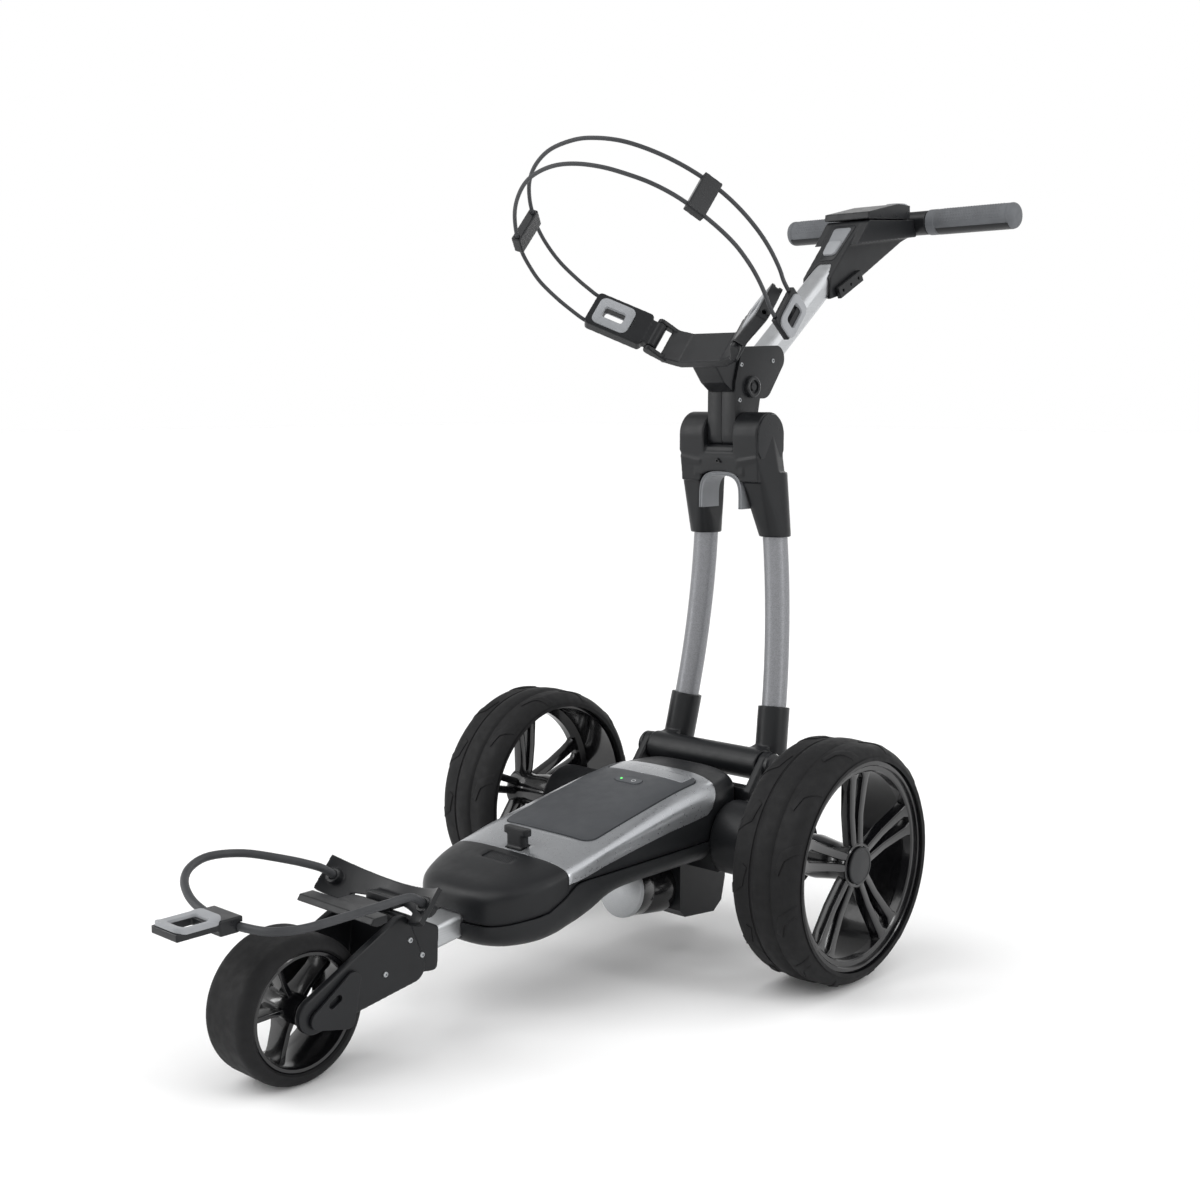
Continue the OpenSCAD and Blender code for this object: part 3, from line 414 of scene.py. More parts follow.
def smooth_path(points, parts=6):
    """Points of a smooth curve through the given points."""
    ends = [2 * points[0] - points[1]] + list(points) + [2 * points[-1] - points[-2]]
    path = []
    for i in range(1, len(ends) - 2):
        for part in range(parts):
            t = part / parts
            a, b, c, d = ends[i - 1:i + 3]
            path.append(0.5 * (2 * b + (c - a) * t + (2 * a - 5 * b + 4 * c - d) * t * t
                               + (3 * b - a - 3 * c + d) * t ** 3))
    return path + [points[-1]]


def swept(name, path, radius_mm, sides=24):
    """Round bar along a path, closed flat at both ends."""
    forward = (path[1] - path[0]).normalized()
    side = forward.orthogonal().normalized()
    rings = []
    for i, point in enumerate(path):
        heading = (path[min(i + 1, len(path) - 1)] - path[max(i - 1, 0)]).normalized()
        side = (side - heading * side.dot(heading)).normalized()
        rings.append((point, side.copy(), heading.cross(side)))
    points = []
    for point, side, up in rings:
        for j in range(sides):
            angle = 2 * math.pi * j / sides
            points.append(point + (side * math.cos(angle) + up * math.sin(angle)) * radius_mm * MM)
    faces = end_faces(len(rings), sides) + side_faces(len(rings), sides)
    return tidied(mesh_piece(name, points, faces), 50)


def skinned(name, rings, closed_ends=True):
    """Skin over rings of points, each ring a closed loop."""
    size = len(rings[0])
    faces = side_faces(len(rings), size)
    if closed_ends:
        faces += end_faces(len(rings), size)
    return tidied(mesh_piece(name, [p for ring in rings for p in ring], faces))


def prism(name, outline, low_mm, high_mm):
    """Upright prism over a plan outline of points at(x, y, 0)."""
    rings = [[Vector((p.x, p.y, z * MM)) for p in outline] for z in (low_mm, high_mm)]
    return skinned(name, rings)


def side_prism(name, outline, half_w):
    """Prism across the trolley over a side outline of (y, z) in mm."""
    return skinned(name, [[at(x, y, z) for y, z in outline] for x in (-half_w, half_w)])


def rounded_plate(name, frame_at, half_l, half_w, radius, low, high, hole=None, crown=0.8):
    """Plate with rounded corners and edges; frame_at(a, b, lift) places its points."""
    def outline(shrink, lift, a_half, b_half, r):
        corner = arc((a_half - r, b_half - r), r - shrink, 0, 90, 6)
        loop = corner + [(-a, b) for a, b in reversed(corner)]
        loop += [(-a, -b) for a, b in corner] + [(a, -b) for a, b in reversed(corner)]
        return [frame_at(a, b, lift) for a, b in loop]

    rings = [outline(0, low, half_l, half_w, radius), outline(0, high - crown, half_l, half_w, radius),
             outline(crown * 0.3, high - crown * 0.3, half_l, half_w, radius),
             outline(crown, high, half_l, half_w, radius)]
    if hole:
        hole_l, hole_w, hole_r = hole
        rings += [outline(-crown * 0.6, high, hole_l, hole_w, hole_r),
                  outline(0, high - crown, hole_l, hole_w, hole_r), outline(0, low, hole_l, hole_w, hole_r)]
        rings.append(rings[0])
    return tidied(skinned(name, rings, closed_ends=not hole), 35)


def cut(piece, operation, tool):
    """Boolean with a tool piece, which is used up."""
    boolean = piece.modifiers.new("cut", "BOOLEAN")
    boolean.operation = operation
    boolean.solver = "EXACT"
    boolean.object = tool
    applied(piece)
    bpy.data.objects.remove(tool)
    return piece


def rounded_outline(x0, x1, y0, y1, radius, steps=8):
    """Plan outline of a rounded rectangle, in metres on the ground."""
    corners = ((x1 - radius, y1 - radius, 0), (x0 + radius, y1 - radius, 90),
               (x0 + radius, y0 + radius, 180), (x1 - radius, y0 + radius, 270))
    return [at(x, y, 0) for cx, cy, start in corners
            for x, y in arc((cx, cy), radius, start, start + 90, steps)]


# ---------------------------------------------------------------- geometry node trees


def node_tree(name, inputs):
    """Geometry tree with named inputs: {label: (socket type, default)}."""
    tree = bpy.data.node_groups.new(name, "GeometryNodeTree")
    tree.interface.new_socket("Geometry", in_out="INPUT", socket_type="NodeSocketGeometry")
    tree.interface.new_socket("Geometry", in_out="OUTPUT", socket_type="NodeSocketGeometry")
    for label, (kind, default) in inputs.items():
        socket = tree.interface.new_socket(label, in_out="INPUT", socket_type=kind)
        if default is not None:
            socket.default_value = default
    return tree, add_node(tree, "NodeGroupInput").outputs


def close_tree(tree, geometry, material):
    """Ends a tree in real geometry with its material."""
    real = add_node(tree, "GeometryNodeRealizeInstances", inputs={"Geometry": geometry})
    painted = add_node(tree, "GeometryNodeSetMaterial", inputs={
        "Geometry": real.outputs["Geometry"], "Material": material})
    add_node(tree, "NodeGroupOutput", inputs={"Geometry": painted.outputs["Geometry"]})
    return tree


def ring_tree():
    """Repeats one element round the X axis through a wheel's centre."""
    tree, given = node_tree("Repeat round a wheel", {
        "Count": ("NodeSocketInt", 12), "Start": ("NodeSocketFloat", 0.0),
        "Centre": ("NodeSocketVector", None), "Finish": ("NodeSocketMaterial", None)})
    line = add_node(tree, "GeometryNodeMeshLine", inputs={
        "Count": given["Count"], "Offset": (0, 0, 0)})
    step = add_node(tree, "ShaderNodeMath", {"operation": "DIVIDE"}, {0: math.tau, 1: given["Count"]})
    index = add_node(tree, "GeometryNodeInputIndex").outputs["Index"]
    angle = add_node(tree, "ShaderNodeMath", {"operation": "MULTIPLY_ADD"}, {
        0: index, 1: step.outputs[0], 2: given["Start"]})
    turn = add_node(tree, "ShaderNodeCombineXYZ", inputs={"X": angle.outputs[0]})
    copies = add_node(tree, "GeometryNodeInstanceOnPoints", inputs={
        "Points": line.outputs["Mesh"], "Instance": given["Geometry"],
        "Rotation": turn.outputs["Vector"]})
    placed = add_node(tree, "GeometryNodeTransform", inputs={
        "Geometry": copies.outputs["Instances"], "Translation": given["Centre"]})
    return close_tree(tree, placed.outputs["Geometry"], given["Finish"])


def place_tree():
    """Sets one element on every point of a mesh, turned by the point's own turn."""
    tree, given = node_tree("Set on points", {
        "Element": ("NodeSocketObject", None), "Size": ("NodeSocketFloat", 1.0),
        "Finish": ("NodeSocketMaterial", None)})
    element = add_node(tree, "GeometryNodeObjectInfo", inputs={"Object": given["Element"]})
    turn = add_node(tree, "GeometryNodeInputNamedAttribute", {"data_type": "FLOAT_VECTOR"},
                    {"Name": "turn"})
    copies = add_node(tree, "GeometryNodeInstanceOnPoints", inputs={
        "Points": given["Geometry"], "Instance": element.outputs["Geometry"],
        "Rotation": turn.outputs[0], "Scale": given["Size"]})
    return close_tree(tree, copies.outputs["Instances"], given["Finish"])


def with_tree(piece, tree, values):
    """Runs a tree on a piece and keeps the result as its plain mesh."""
    modifier = piece.modifiers.new("repeat", "NODES")
    modifier.node_group = tree
    for item in tree.interface.items_tree:
        if item.in_out == "INPUT" and item.name in values:
            modifier[item.identifier] = values[item.name]
    applied(piece)
    return tidied(piece, 35)


def round_wheel(piece, count, start, centre, finish):
    """Copies of a piece round a wheel's centre, the first one turned by the start angle."""
    values = {"Count": count, "Start": start, "Centre": tuple(centre), "Finish": FINISH[finish]}
    return with_tree(piece, bpy.data.node_groups["Repeat round a wheel"], values)


def set_on_points(name, element, places, finish, size=1.0):
    """Copies of an element at places of (point, outward direction)."""
    mesh = bpy.data.meshes.new(name)
    mesh.from_pydata([tuple(point) for point, _ in places], [], [])
    turns = mesh.attributes.new("turn", "FLOAT_VECTOR", "POINT")
    for i, (_, outward) in enumerate(places):
        turns.data[i].vector = Vector((0, 0, 1)).rotation_difference(Vector(outward)).to_euler()
    piece = link_piece(name, mesh)
    values = {"Element": element, "Size": size, "Finish": FINISH[finish]}
    return with_tree(piece, bpy.data.node_groups["Set on points"], values)


def screw_head():
    """Domed socket screw of 1 mm radius, standing on its origin."""
    steps = 24
    hexagon = [0.5 * math.cos(math.radians(30)) / math.cos(math.radians((360 / steps * i) % 60 - 30))
               for i in range(steps)]
    rings = [([1.0] * steps, -0.4), ([1.0] * steps, 0.25), ([0.86] * steps, 0.45),
             ([0.62] * steps, 0.52), (hexagon, 0.52), (hexagon, 0.1)]
    points = []
    for radii, height in rings:
        for i, radius in enumerate(radii):
            angle = 2 * math.pi * i / steps
            points.append(Vector((radius * math.cos(angle), radius * math.sin(angle), height)) * MM)
    faces = end_faces(len(rings), steps) + side_faces(len(rings), steps)
    return tidied(mesh_piece("screw_element", points, faces))


def dimple_dome():
    """Low dome of 1 mm radius."""
    profile = arc((0, -0.6), 1.17, 31, 90, 4)
    return turned("dome_element", [(max(r, 0.01), z) for r, z in profile], Vector(), (0, 0, 1), 12)


# ---------------------------------------------------------------- body lines

# The upper body by stations from front to rear: y, half width, top and flank height in mm
NOSE_STATIONS = [
    (-386, 3, 131, 116), (-385.6, 18, 135, 117), (-383.5, 36, 142, 120), (-378, 53, 148, 125),
    (-366, 68, 153, 131), (-349, 79, 157, 137), (-325, 88, 163, 144), (-308, 92, 166.5, 149),
    (-292.5, 94, 170, 152),
]
TRIM_STATIONS = [
    (-292, 94, 170, 152), (-264, 94.5, 176, 159), (-236, 95, 182, 166), (-180, 95, 195, 172),
    (-120, 95, 208, 178), (-80, 95, 216, 181), (-40, 94, 221.5, 184),
    (-10, 90, 223, 187), (24, 80, 223, 190),
]
SHELL_STATIONS = [
    (-386, 3, 106, 112), (-385.6, 18, 100, 112), (-383.5, 36, 95, 112), (-378, 53, 90, 112),
    (-366, 68, 85.5, 114), (-349, 79, 82.5, 117), (-325, 88, 81.5, 121), (-300, 92.5, 82, 133),
    (-282, 94, 84.5, 145), (-264, 94.5, 89, 147.6), (-245, 95, 97, 147.6), (-228, 95, 107, 147.6),
    (-205, 95, 114.5, 147.6), (-170, 95, 117, 147.6), (-110, 95, 117, 147.6), (-47, 95, 117, 147.6),
]
SHOULDER = 3.4


SHELL_CORNER = 0.62
SPOKES = 5


def squared_arch(steps, power):
    """Half a squared-off ellipse as (across, up), from (1, 0) over (0, 1) to (-1, 0)."""
    angles = [math.pi * i / steps for i in range(steps + 1)]
    return [(math.copysign(abs(math.cos(a)) ** power, math.cos(a)), math.sin(a) ** power) for a in angles]


def between(first, second, y):
    """Half width, top and flank height of the body between two stations."""
    t = (y - first[0]) / max(second[0] - first[0], 1e-6)
    return [first[k] + (second[k] - first[k]) * t for k in (1, 2, 3)]


def eased(stations, parts=5):
    """More stations, on a smooth curve through the given ones."""
    return [tuple(p) for p in smooth_path([Vector(s) for s in stations], parts)]


def parting_height(y):
    """Height of the line between the nose cover and the lower shell."""
    knots = [(-400, 113), (-374, 113), (-320, 122), (-293, 138), (-277, 148), (60, 148)]
    for (y0, z0), (y1, z1) in zip(knots, knots[1:]):
        if y <= y1:
            t = (y - y0) / (y1 - y0)
            return z0 + (z1 - z0) * t
    return knots[-1][1]


def crowned_ring(y, half_w, top, flank, foot, raised=0.0, steps=40):
    """Body section: upright flanks up to a soft shoulder and a crowned top, closed below."""
    crown = [at(across * (half_w + raised), y, flank + (top + raised - flank) * up)
             for across, up in squared_arch(steps, 2 / SHOULDER)]
    return [at(half_w, y, foot)] + crown + [at(-half_w, y, foot)]


def upper_body(name, stations, raised=0.0, inset=0.0, foot=None):
    """Closed skin of the crowned upper body."""
    rings = []
    for y, half_w, top, flank in eased(stations):
        low = parting_height(y) + 0.4 if foot is None else foot
        rings.append(crowned_ring(y, half_w - inset, top - inset, max(flank - inset, low + 1), low, raised))
    return skinned(name, rings)


def top_at(y, x=0.0):
    """Height of the crowned body above a point of its plan."""
    stations = eased(NOSE_STATIONS[:-1] + TRIM_STATIONS)
    for first, second in zip(stations, stations[1:]):
        if y <= second[0]:
            half_w, top, flank = between(first, second, y)
            across = min(0.999, abs(x) / half_w)
            return flank + (top - flank) * (1 - across ** SHOULDER) ** (1 / SHOULDER)
    return stations[-1][2]


def battery_plan(gap):
    """Plan outline of the battery, with a gap in mm round it."""
    low, high = (corner / MM for corner in corners("battery_case"))
    shift = AXLE.y / MM
    return rounded_outline(low.x - gap, high.x + gap, low.y - shift - gap, high.y - shift + gap, 14 + gap)


# ---------------------------------------------------------------- operators


class Look(bpy.types.PropertyGroup):
    """Colours of the main finishes."""
    plastic: FloatVectorProperty(name="Black mouldings", description="Colour of the black plastic parts",
                                 subtype="COLOR", size=3, default=linear("17181a"))
    battery: FloatVectorProperty(name="Battery", description="Colour of the battery case",
                                 subtype="COLOR", size=3, default=linear("3a3c3f"))
    lacquer: FloatVectorProperty(name="Silver", description="Colour of the silver trim and tubes",
                                 subtype="COLOR", size=3, default=linear("9a9c9f"))
    leg: FloatVectorProperty(name="Legs", description="Colour of the two leg tubes",
                             subtype="COLOR", size=3, default=linear("78797c"))
    grip: FloatVectorProperty(name="Grips", description="Colour of the rubber grips",
                              subtype="COLOR", size=3, default=linear("5c5e61"))


class Sizes(bpy.types.PropertyGroup):
    """Sizes of the details."""
    lug_count: IntProperty(name="Lugs in a row", description="Tread lugs round one shoulder of a tyre",
                           default=12, min=8, max=24)
    lug_height: FloatProperty(name="Lug height", description="How far a tread lug stands proud",
                              default=1.3 * MM, min=0.5 * MM, max=3 * MM, unit="LENGTH")
    dimple: FloatProperty(name="Dimple pitch", description="Spacing of the dimples in the grips",
                          default=4.2 * MM, min=3 * MM, max=8 * MM, unit="LENGTH")


class TROLLEY_OT_stage(bpy.types.Operator):
    """Pale floor, soft light and the camera"""
    bl_idname = "trolley.stage"
    bl_label = "Stage"

    def execute(self, context):
        scene = context.scene
        camera = bpy.data.objects.new("camera", bpy.data.cameras.new("camera"))
        camera.data.lens = 48
        camera.data.sensor_width = 36
        camera.data.clip_end = 60
        camera.location = (1.290, -1.4565, 0.6865)
        camera.rotation_euler = (math.radians(82.81), 0, math.radians(42.65))
        scene.collection.objects.link(camera)
        scene.camera = camera
        reach = 30
        floor = mesh_piece("floor", [(-reach, -reach, 0), (reach, -reach, 0), (reach, reach, 0),
                                     (-reach, reach, 0)], [(0, 1, 2, 3)])
        floor.data.materials.append(self.floor_paint())
        scene.world = self.sky()
        for name, aim, strength, softness in (("key", (0.55, 0.75, -1.25), 1.3, 50),
                                              ("back", (-0.7, -0.45, -1.3), 0.9, 60)):
            sun = bpy.data.objects.new(name, bpy.data.lights.new(name, "SUN"))
            sun.data.energy = strength
            sun.data.angle = math.radians(softness)
            sun.rotation_euler = Vector(aim).to_track_quat("-Z", "Y").to_euler()
            scene.collection.objects.link(sun)
        for name, place, power in (("left_strip", (-1.9, -1.9, 1.3), 16),
                                   ("right_strip", (2.6, 0.3, 1.5), 16),
                                   ("rear_strip", (-0.4, 2.9, 1.6), 12)):
            strip = bpy.data.objects.new(name, bpy.data.lights.new(name, "AREA"))
            strip.data.shape = "RECTANGLE"
            strip.data.size, strip.data.size_y = 0.35, 1.9
            strip.data.energy = power
            strip.location = place
            heading = Vector((0, 0, 0.35)) - Vector(place)
            strip.rotation_euler = heading.to_track_quat("-Z", "Y").to_euler()
            scene.collection.objects.link(strip)
        scene.view_settings.view_transform = "Standard"
        return {"FINISHED"}

    def floor_paint(self):
        """Matt white paint of the studio floor."""
        material, tree, coordinates = new_material("pale studio floor")
        surface(tree, (0.94, 0.94, 0.94), mottled(tree, coordinates, 400, 0.8, 0.9), Specular_IOR_Level=0.1)
        return material

    def sky(self):
        """White towards the horizon and grey overhead, so that glossy parts keep their dark faces."""
        world = bpy.data.worlds.new("soft studio")
        world.use_nodes = True
        tree = world.node_tree
        heading = add_node(tree, "ShaderNodeTexCoord").outputs["Generated"]
        parts = add_node(tree, "ShaderNodeSeparateXYZ", inputs={"Vector": heading})
        shade = add_node(tree, "ShaderNodeMapRange", {"interpolation_type": "SMOOTHSTEP"}, {
            "Value": parts.outputs["Z"], "From Min": 0.26, "From Max": 0.6, "To Min": 1.0, "To Max": 0.42})
        tree.links.new(shade.outputs["Result"], tree.nodes["Background"].inputs["Color"])
        return world


class TROLLEY_OT_straps(bpy.types.Operator):
    """Rubber cords of both bag straps, with their buckle, ring and spacers"""
    bl_idname = "trolley.straps"
    bl_label = "Straps"

    LOOP_ORIGIN = (0, 13, 813)
    BAG_TILT = math.radians(50)
    CLIP_RISE = math.radians(37)
    REAR_LOOP = [(-152, 17), (-159, 36), (-166, 66), (-166, 96), (-161, 124), (-151, 150), (-137, 176),
                 (-116, 203), (-86, 227), (-48, 245), (-4, 253), (28, 251), (60, 242), (88, 226),
                 (113, 205), (134, 180), (150, 152), (160, 122), (165, 90), (165, 60), (161, 30),
                 (156, 10), (154, -6)]
    FRONT_LOOP = [(-155, 22), (-164, 46), (-170, 76), (-167, 106), (-160, 132), (-145, 162), (-122, 194),
                  (-94, 220), (-64, 239), (-32, 250), (-2, 254), (28, 251), (57, 242), (82, 229),
                  (106, 213), (127, 192), (144, 166), (157, 138), (165, 110), (167, 80), (165, 53),
                  (160, 26), (156, 10), (154, -6)]
    LOWER_LOOP = [(-84, 96, 185), (-106, 77, 191), (-131, 45, 199), (-137, 6, 203), (-124, -26, 201),
                  (-102, -48, 195), (-72, -61, 187), (-42, -65, 181), (-8, -65, 178), (24, -60, 177),
                  (50, -50, 177), (65, -24, 177), (67, 24, 177), (68, 74, 178), (72, 97, 180)]

    def execute(self, context):
        fittings = self.fittings()
        buckle = self.buckle()
        socket = [(-70.4 - k * math.cos(self.CLIP_RISE), k * math.sin(self.CLIP_RISE) - 53.4)
                  for k in (82, 94)]
        for name, loop, off in (("rear", self.REAR_LOOP, 5), ("front", self.FRONT_LOOP, -36)):
            points = [self.loop_point(p, off) for p in socket + loop]
            self.cord("upper_%s_cord" % name, points, 5, "left_clip", "upper_strap", [fittings])
        cradle = [self.cradle_point(x, t) for x, t in ((-74, 2), (-74, 30), (74, 30), (74, 2))]
        front_y = (FRONT_AXLE.y - AXLE.y) / MM
        points = cradle[:2] + [at(x, y + front_y, z) for x, y, z in self.LOWER_LOOP] + cradle[2:]
        self.cord("lower_cord", points, 9, "chassis", "lower_strap", [buckle])
        return {"FINISHED"}

    def loop_point(self, p, off):
        """Point of the upper loops' own plane, off mm above it."""
        x, y, z = self.LOOP_ORIGIN
        up, along = math.cos(self.BAG_TILT), math.sin(self.BAG_TILT)
        return at(x + p[0], y - p[1] * along + off * up, z + p[1] * up + off * along)

    def cradle_point(self, x, t):
        """Point on the lower cradle, t mm up its slope."""
        return at(x, -476 - t * math.sin(self.BAG_TILT), 158 + t * math.cos(self.BAG_TILT))

    def cord(self, name, points, diameter_mm, body, node, pieces):
        path = smooth_path(points, 5)
        piece = swept(name, path, diameter_mm / 2, 20)
        dress(piece, body, "strap", "strap_rubber", node)

    def fittings(self):
        """Spacers and end ring of the upper strap, with the ring's grey face."""
        up, along = math.cos(self.BAG_TILT), math.sin(self.BAG_TILT)
        centre = self.loop_point((155, -28), -15.5)

        def place(a, b, lift):
            flat = Vector((0, -along, up))
            return centre + (flat * b + Vector((0, up, along)) * a + Vector((1, 0, 0)) * lift) * MM

        face = rounded_plate("strap_ring_face", place, 25, 16.2, 9, 2, 6.4, hole=(13.8, 8, 4), crown=1.4)
        dress(face, "left_clip", "window", "latch_grey")
        return moulded("strap_fittings", 0.9, 8, "left_clip", "cap", "frame_plastic")

    def buckle(self):
        """Buckle of the lower strap, with a grey pull loop laid over its frame."""
        centre = at(-8, (FRONT_AXLE.y - AXLE.y) / MM - 105, 182)

        def place(a, b, lift):
            return centre + Vector((b, a, lift + a * a / 160)) * MM

        loop = rounded_plate("buckle_pull_loop", place, 26.5, 23, 10, 0.5, 5.6, hole=(16, 13.5, 5),
                             crown=1.6)
        dress(loop, "chassis", "window", "latch_grey")
        return moulded("lower_buckle", 0.9, 4, "chassis", "cap", "frame_plastic")


class TROLLEY_OT_rear_wheels(bpy.types.Operator):
    """Treaded tyres, glossy twin-bar rims and hub caps of the rear wheels"""
    bl_idname = "trolley.rear_wheels"
    bl_label = "Rear wheels"

    GROUND_R, SEAT_R, SHOULDER_R = 142.4, 126, 18
    FLAT = 29

    def execute(self, context):
        for side, name in SIDES:
            body = "rear_wheel_" + name
            low, high = corners("rear_tyre_" + name)
            self.centre = (low + high) / 2
            self.half_w = (high.x - low.x) / 2 / MM
            self.tyre(name, body)
            self.lugs(context.scene.trolley_sizes, name, body)
            self.rim(name, body, side)
            self.cap(name, body, side, middle("hub_cap_" + name))
        return {"FINISHED"}

    def crown(self, u):
        """Radius of the tread at a distance from its middle."""
        over = abs(u) - self.FLAT
        if over <= 0:
            return self.GROUND_R
        over = min(over, self.SHOULDER_R)
        return self.GROUND_R - self.SHOULDER_R + math.sqrt(self.SHOULDER_R ** 2 - over ** 2)

    def tyre(self, name, body):
        """Rear tyre with two grooves round its raised middle band."""
        band, groove = 11.0, 13.4
        r = self.GROUND_R
        profile = [(self.SEAT_R, -self.half_w + 3), (self.SEAT_R + 3, -self.half_w)]
        shoulder = [self.SHOULDER_R * math.sin(a / 10 * math.pi / 2) for a in range(10, -1, -1)]
        profile += [(self.crown(-self.FLAT - over), -self.FLAT - over) for over in shoulder]
        profile += [(r, -groove - 2.4), (r - 1.2, -groove - 1.8), (r - 1.2, -groove), (r + 0.8, -band),
                    (r + 1.8, -band + 2.4), (r + 2.2, 0)]
        profile += [(radius, -along) for radius, along in reversed(profile[:-1])]
        profile += [(self.SEAT_R, -self.half_w + 3)]
        piece = turned("rear_tyre_%s_rubber" % name, profile, self.centre, (1, 0, 0), 144)
        dress(piece, body, "tyre", "tyre_rubber", "rear_tyre_" + name)

    def lugs(self, sizes, name, body):
        """One row of lugs round each shoulder, half a step apart."""
        step = math.tau / sizes.lug_count
        for row, edge, start in ((-1, "inner", 0.0), (1, "outer", step / 2)):
            piece = self.lug("rear_lugs_%s_%s" % (name, edge), row, sizes.lug_height)
            round_wheel(piece, sizes.lug_count, start, self.centre, "tyre")
            dress(piece, body, "tyre", "tyre_rubber")

    def lug(self, name, row, height):
        """Long six-sided lug that follows the shoulder, slanted against the roll."""
        outline = [(across, along * row) for across, along in
                   ((45, 21), (24, 5), (19, -17), (25, -21), (31, -3), (45, 8))]
        cx, cy = (sum(p[axis] for p in outline) / len(outline) for axis in (0, 1))
        rings = []
        for grow, rise in ((1.0, -1.0), (1.0, 0.7), (0.9, 1.0), (0.4, 1.0)):
            ring = []
            for u, v in self.divided(outline, 4):
                u, v = cx + (u - cx) * grow, cy + (v - cy) * grow
                radius = self.crown(u) + (height / MM if rise > 0 else 1) * rise
                angle = v / self.GROUND_R
                ring.append(Vector((row * u, radius * math.sin(angle), radius * math.cos(angle))) * MM)
            rings.append(ring)
        return skinned(name, rings)

    def divided(self, outline, parts):
        """Outline with each of its sides split into equal parts."""
        points = []
        for (u0, v0), (u1, v1) in zip(outline, outline[1:] + outline[:1]):
            points += [(u0 + (u1 - u0) * i / parts, v0 + (v1 - v0) * i / parts) for i in range(parts)]
        return points

    def rim(self, name, body, side):
        """Barrel, hub and paired spokes of a rear rim."""
        hub_centre = Vector((0, AXLE.y, AXLE.z))
        low, high = corners("rear_rim_" + name)
        outer = (high.x if side > 0 else low.x) / MM * side
        inner = (low.x if side > 0 else high.x) / MM * side
        lip = outer + 3
        profile = [(121, inner), (125.8, inner)] + [(radius, lip + along) for radius, along in (
            (125.8, -1), (125, 0), (119.4, 0.5), (118.4, -0.4), (117.6, -3.6), (112.4, -4.2),
            (110.8, -5.6), (110.8, -16), (113, -18), (121, -24))] + [(121, inner)]
        barrel = turned("rear_rim_%s_barrel" % name, profile, hub_centre, (side, 0, 0), 144)
        dress(barrel, body, "gloss", "gloss_black", "rear_rim_" + name)
        profile = [(15.05, inner), (25, inner), (26, inner + 20)] + [
            (radius, outer - back) for radius, back in (
                (22, 34), (22, 20), (27, 12), (27, 5), (25.5, 3.8), (23.2, 4), (23.2, 7), (15.05, 7))
        ] + [(15.05, inner)]
        hub = turned("rear_rim_%s_hub" % name, profile, hub_centre, (side, 0, 0), 72)
        dress(hub, body, "gloss", "gloss_black")
        bars = self.bars("rear_rim_%s_spokes" % name, side, outer)
        round_wheel(bars, SPOKES, 0.0, hub_centre, "gloss")
        dress(bars, body, "gloss", "gloss_black")

    def bars(self, name, side, outer):
        """One pair of bars that spreads from the hub to the rim and dishes outwards."""
        points = []
        faces = []
        stations = [(18, 5.2, 5.2, -5.0), (29, 6.8, 4.9, -6.4), (60, 9.0, 5.0, -7.8), (90, 11.6, 5.6, -6.0),
                    (104, 12.9, 6.2, -4.4), (110, 12.6, 9.4, -3.6), (117, 13.0, 12.9, -2.6)]
        edge = 1.3
        for hand in (-1, 1):
            start = len(points)
            for radius, offset, half, drop in stations:
                face_x = outer + drop + 1
                section = [(-half, -14), (-half, -edge), (-half + edge, 0), (half - edge, 0), (half, -edge),
                           (half, -14)]
                for across, depth in section:
                    points.append(Vector((side * (face_x + depth), hand * offset + across, radius)) * MM)
            size = len(section)
            faces += side_faces(len(stations), size, start)
            faces.append(tuple(start + j for j in range(size)))
            faces.append(tuple(start + (len(stations) - 1) * size + j for j in range(size)))
        piece = tidied(mesh_piece(name, points, faces), 25)
        return bevelled(piece, 0.7, 2, 25)

    def cap(self, name, body, side, centre):
        """Shallow plain cap over the hub."""
        profile = [(0.01, -1.5), (22, -1.5), (22, 0.4), (21.2, 1.3), (19.6, 1.5), (19.2, 1.0), (18.6, 1.0),
                   (12, 1.35), (0.01, 1.5)]
        piece = turned("hub_cap_%s_disc" % name, profile, centre, (side, 0, 0), 72)
        dress(piece, body, "cap", "cap_black", "hub_cap_" + name)


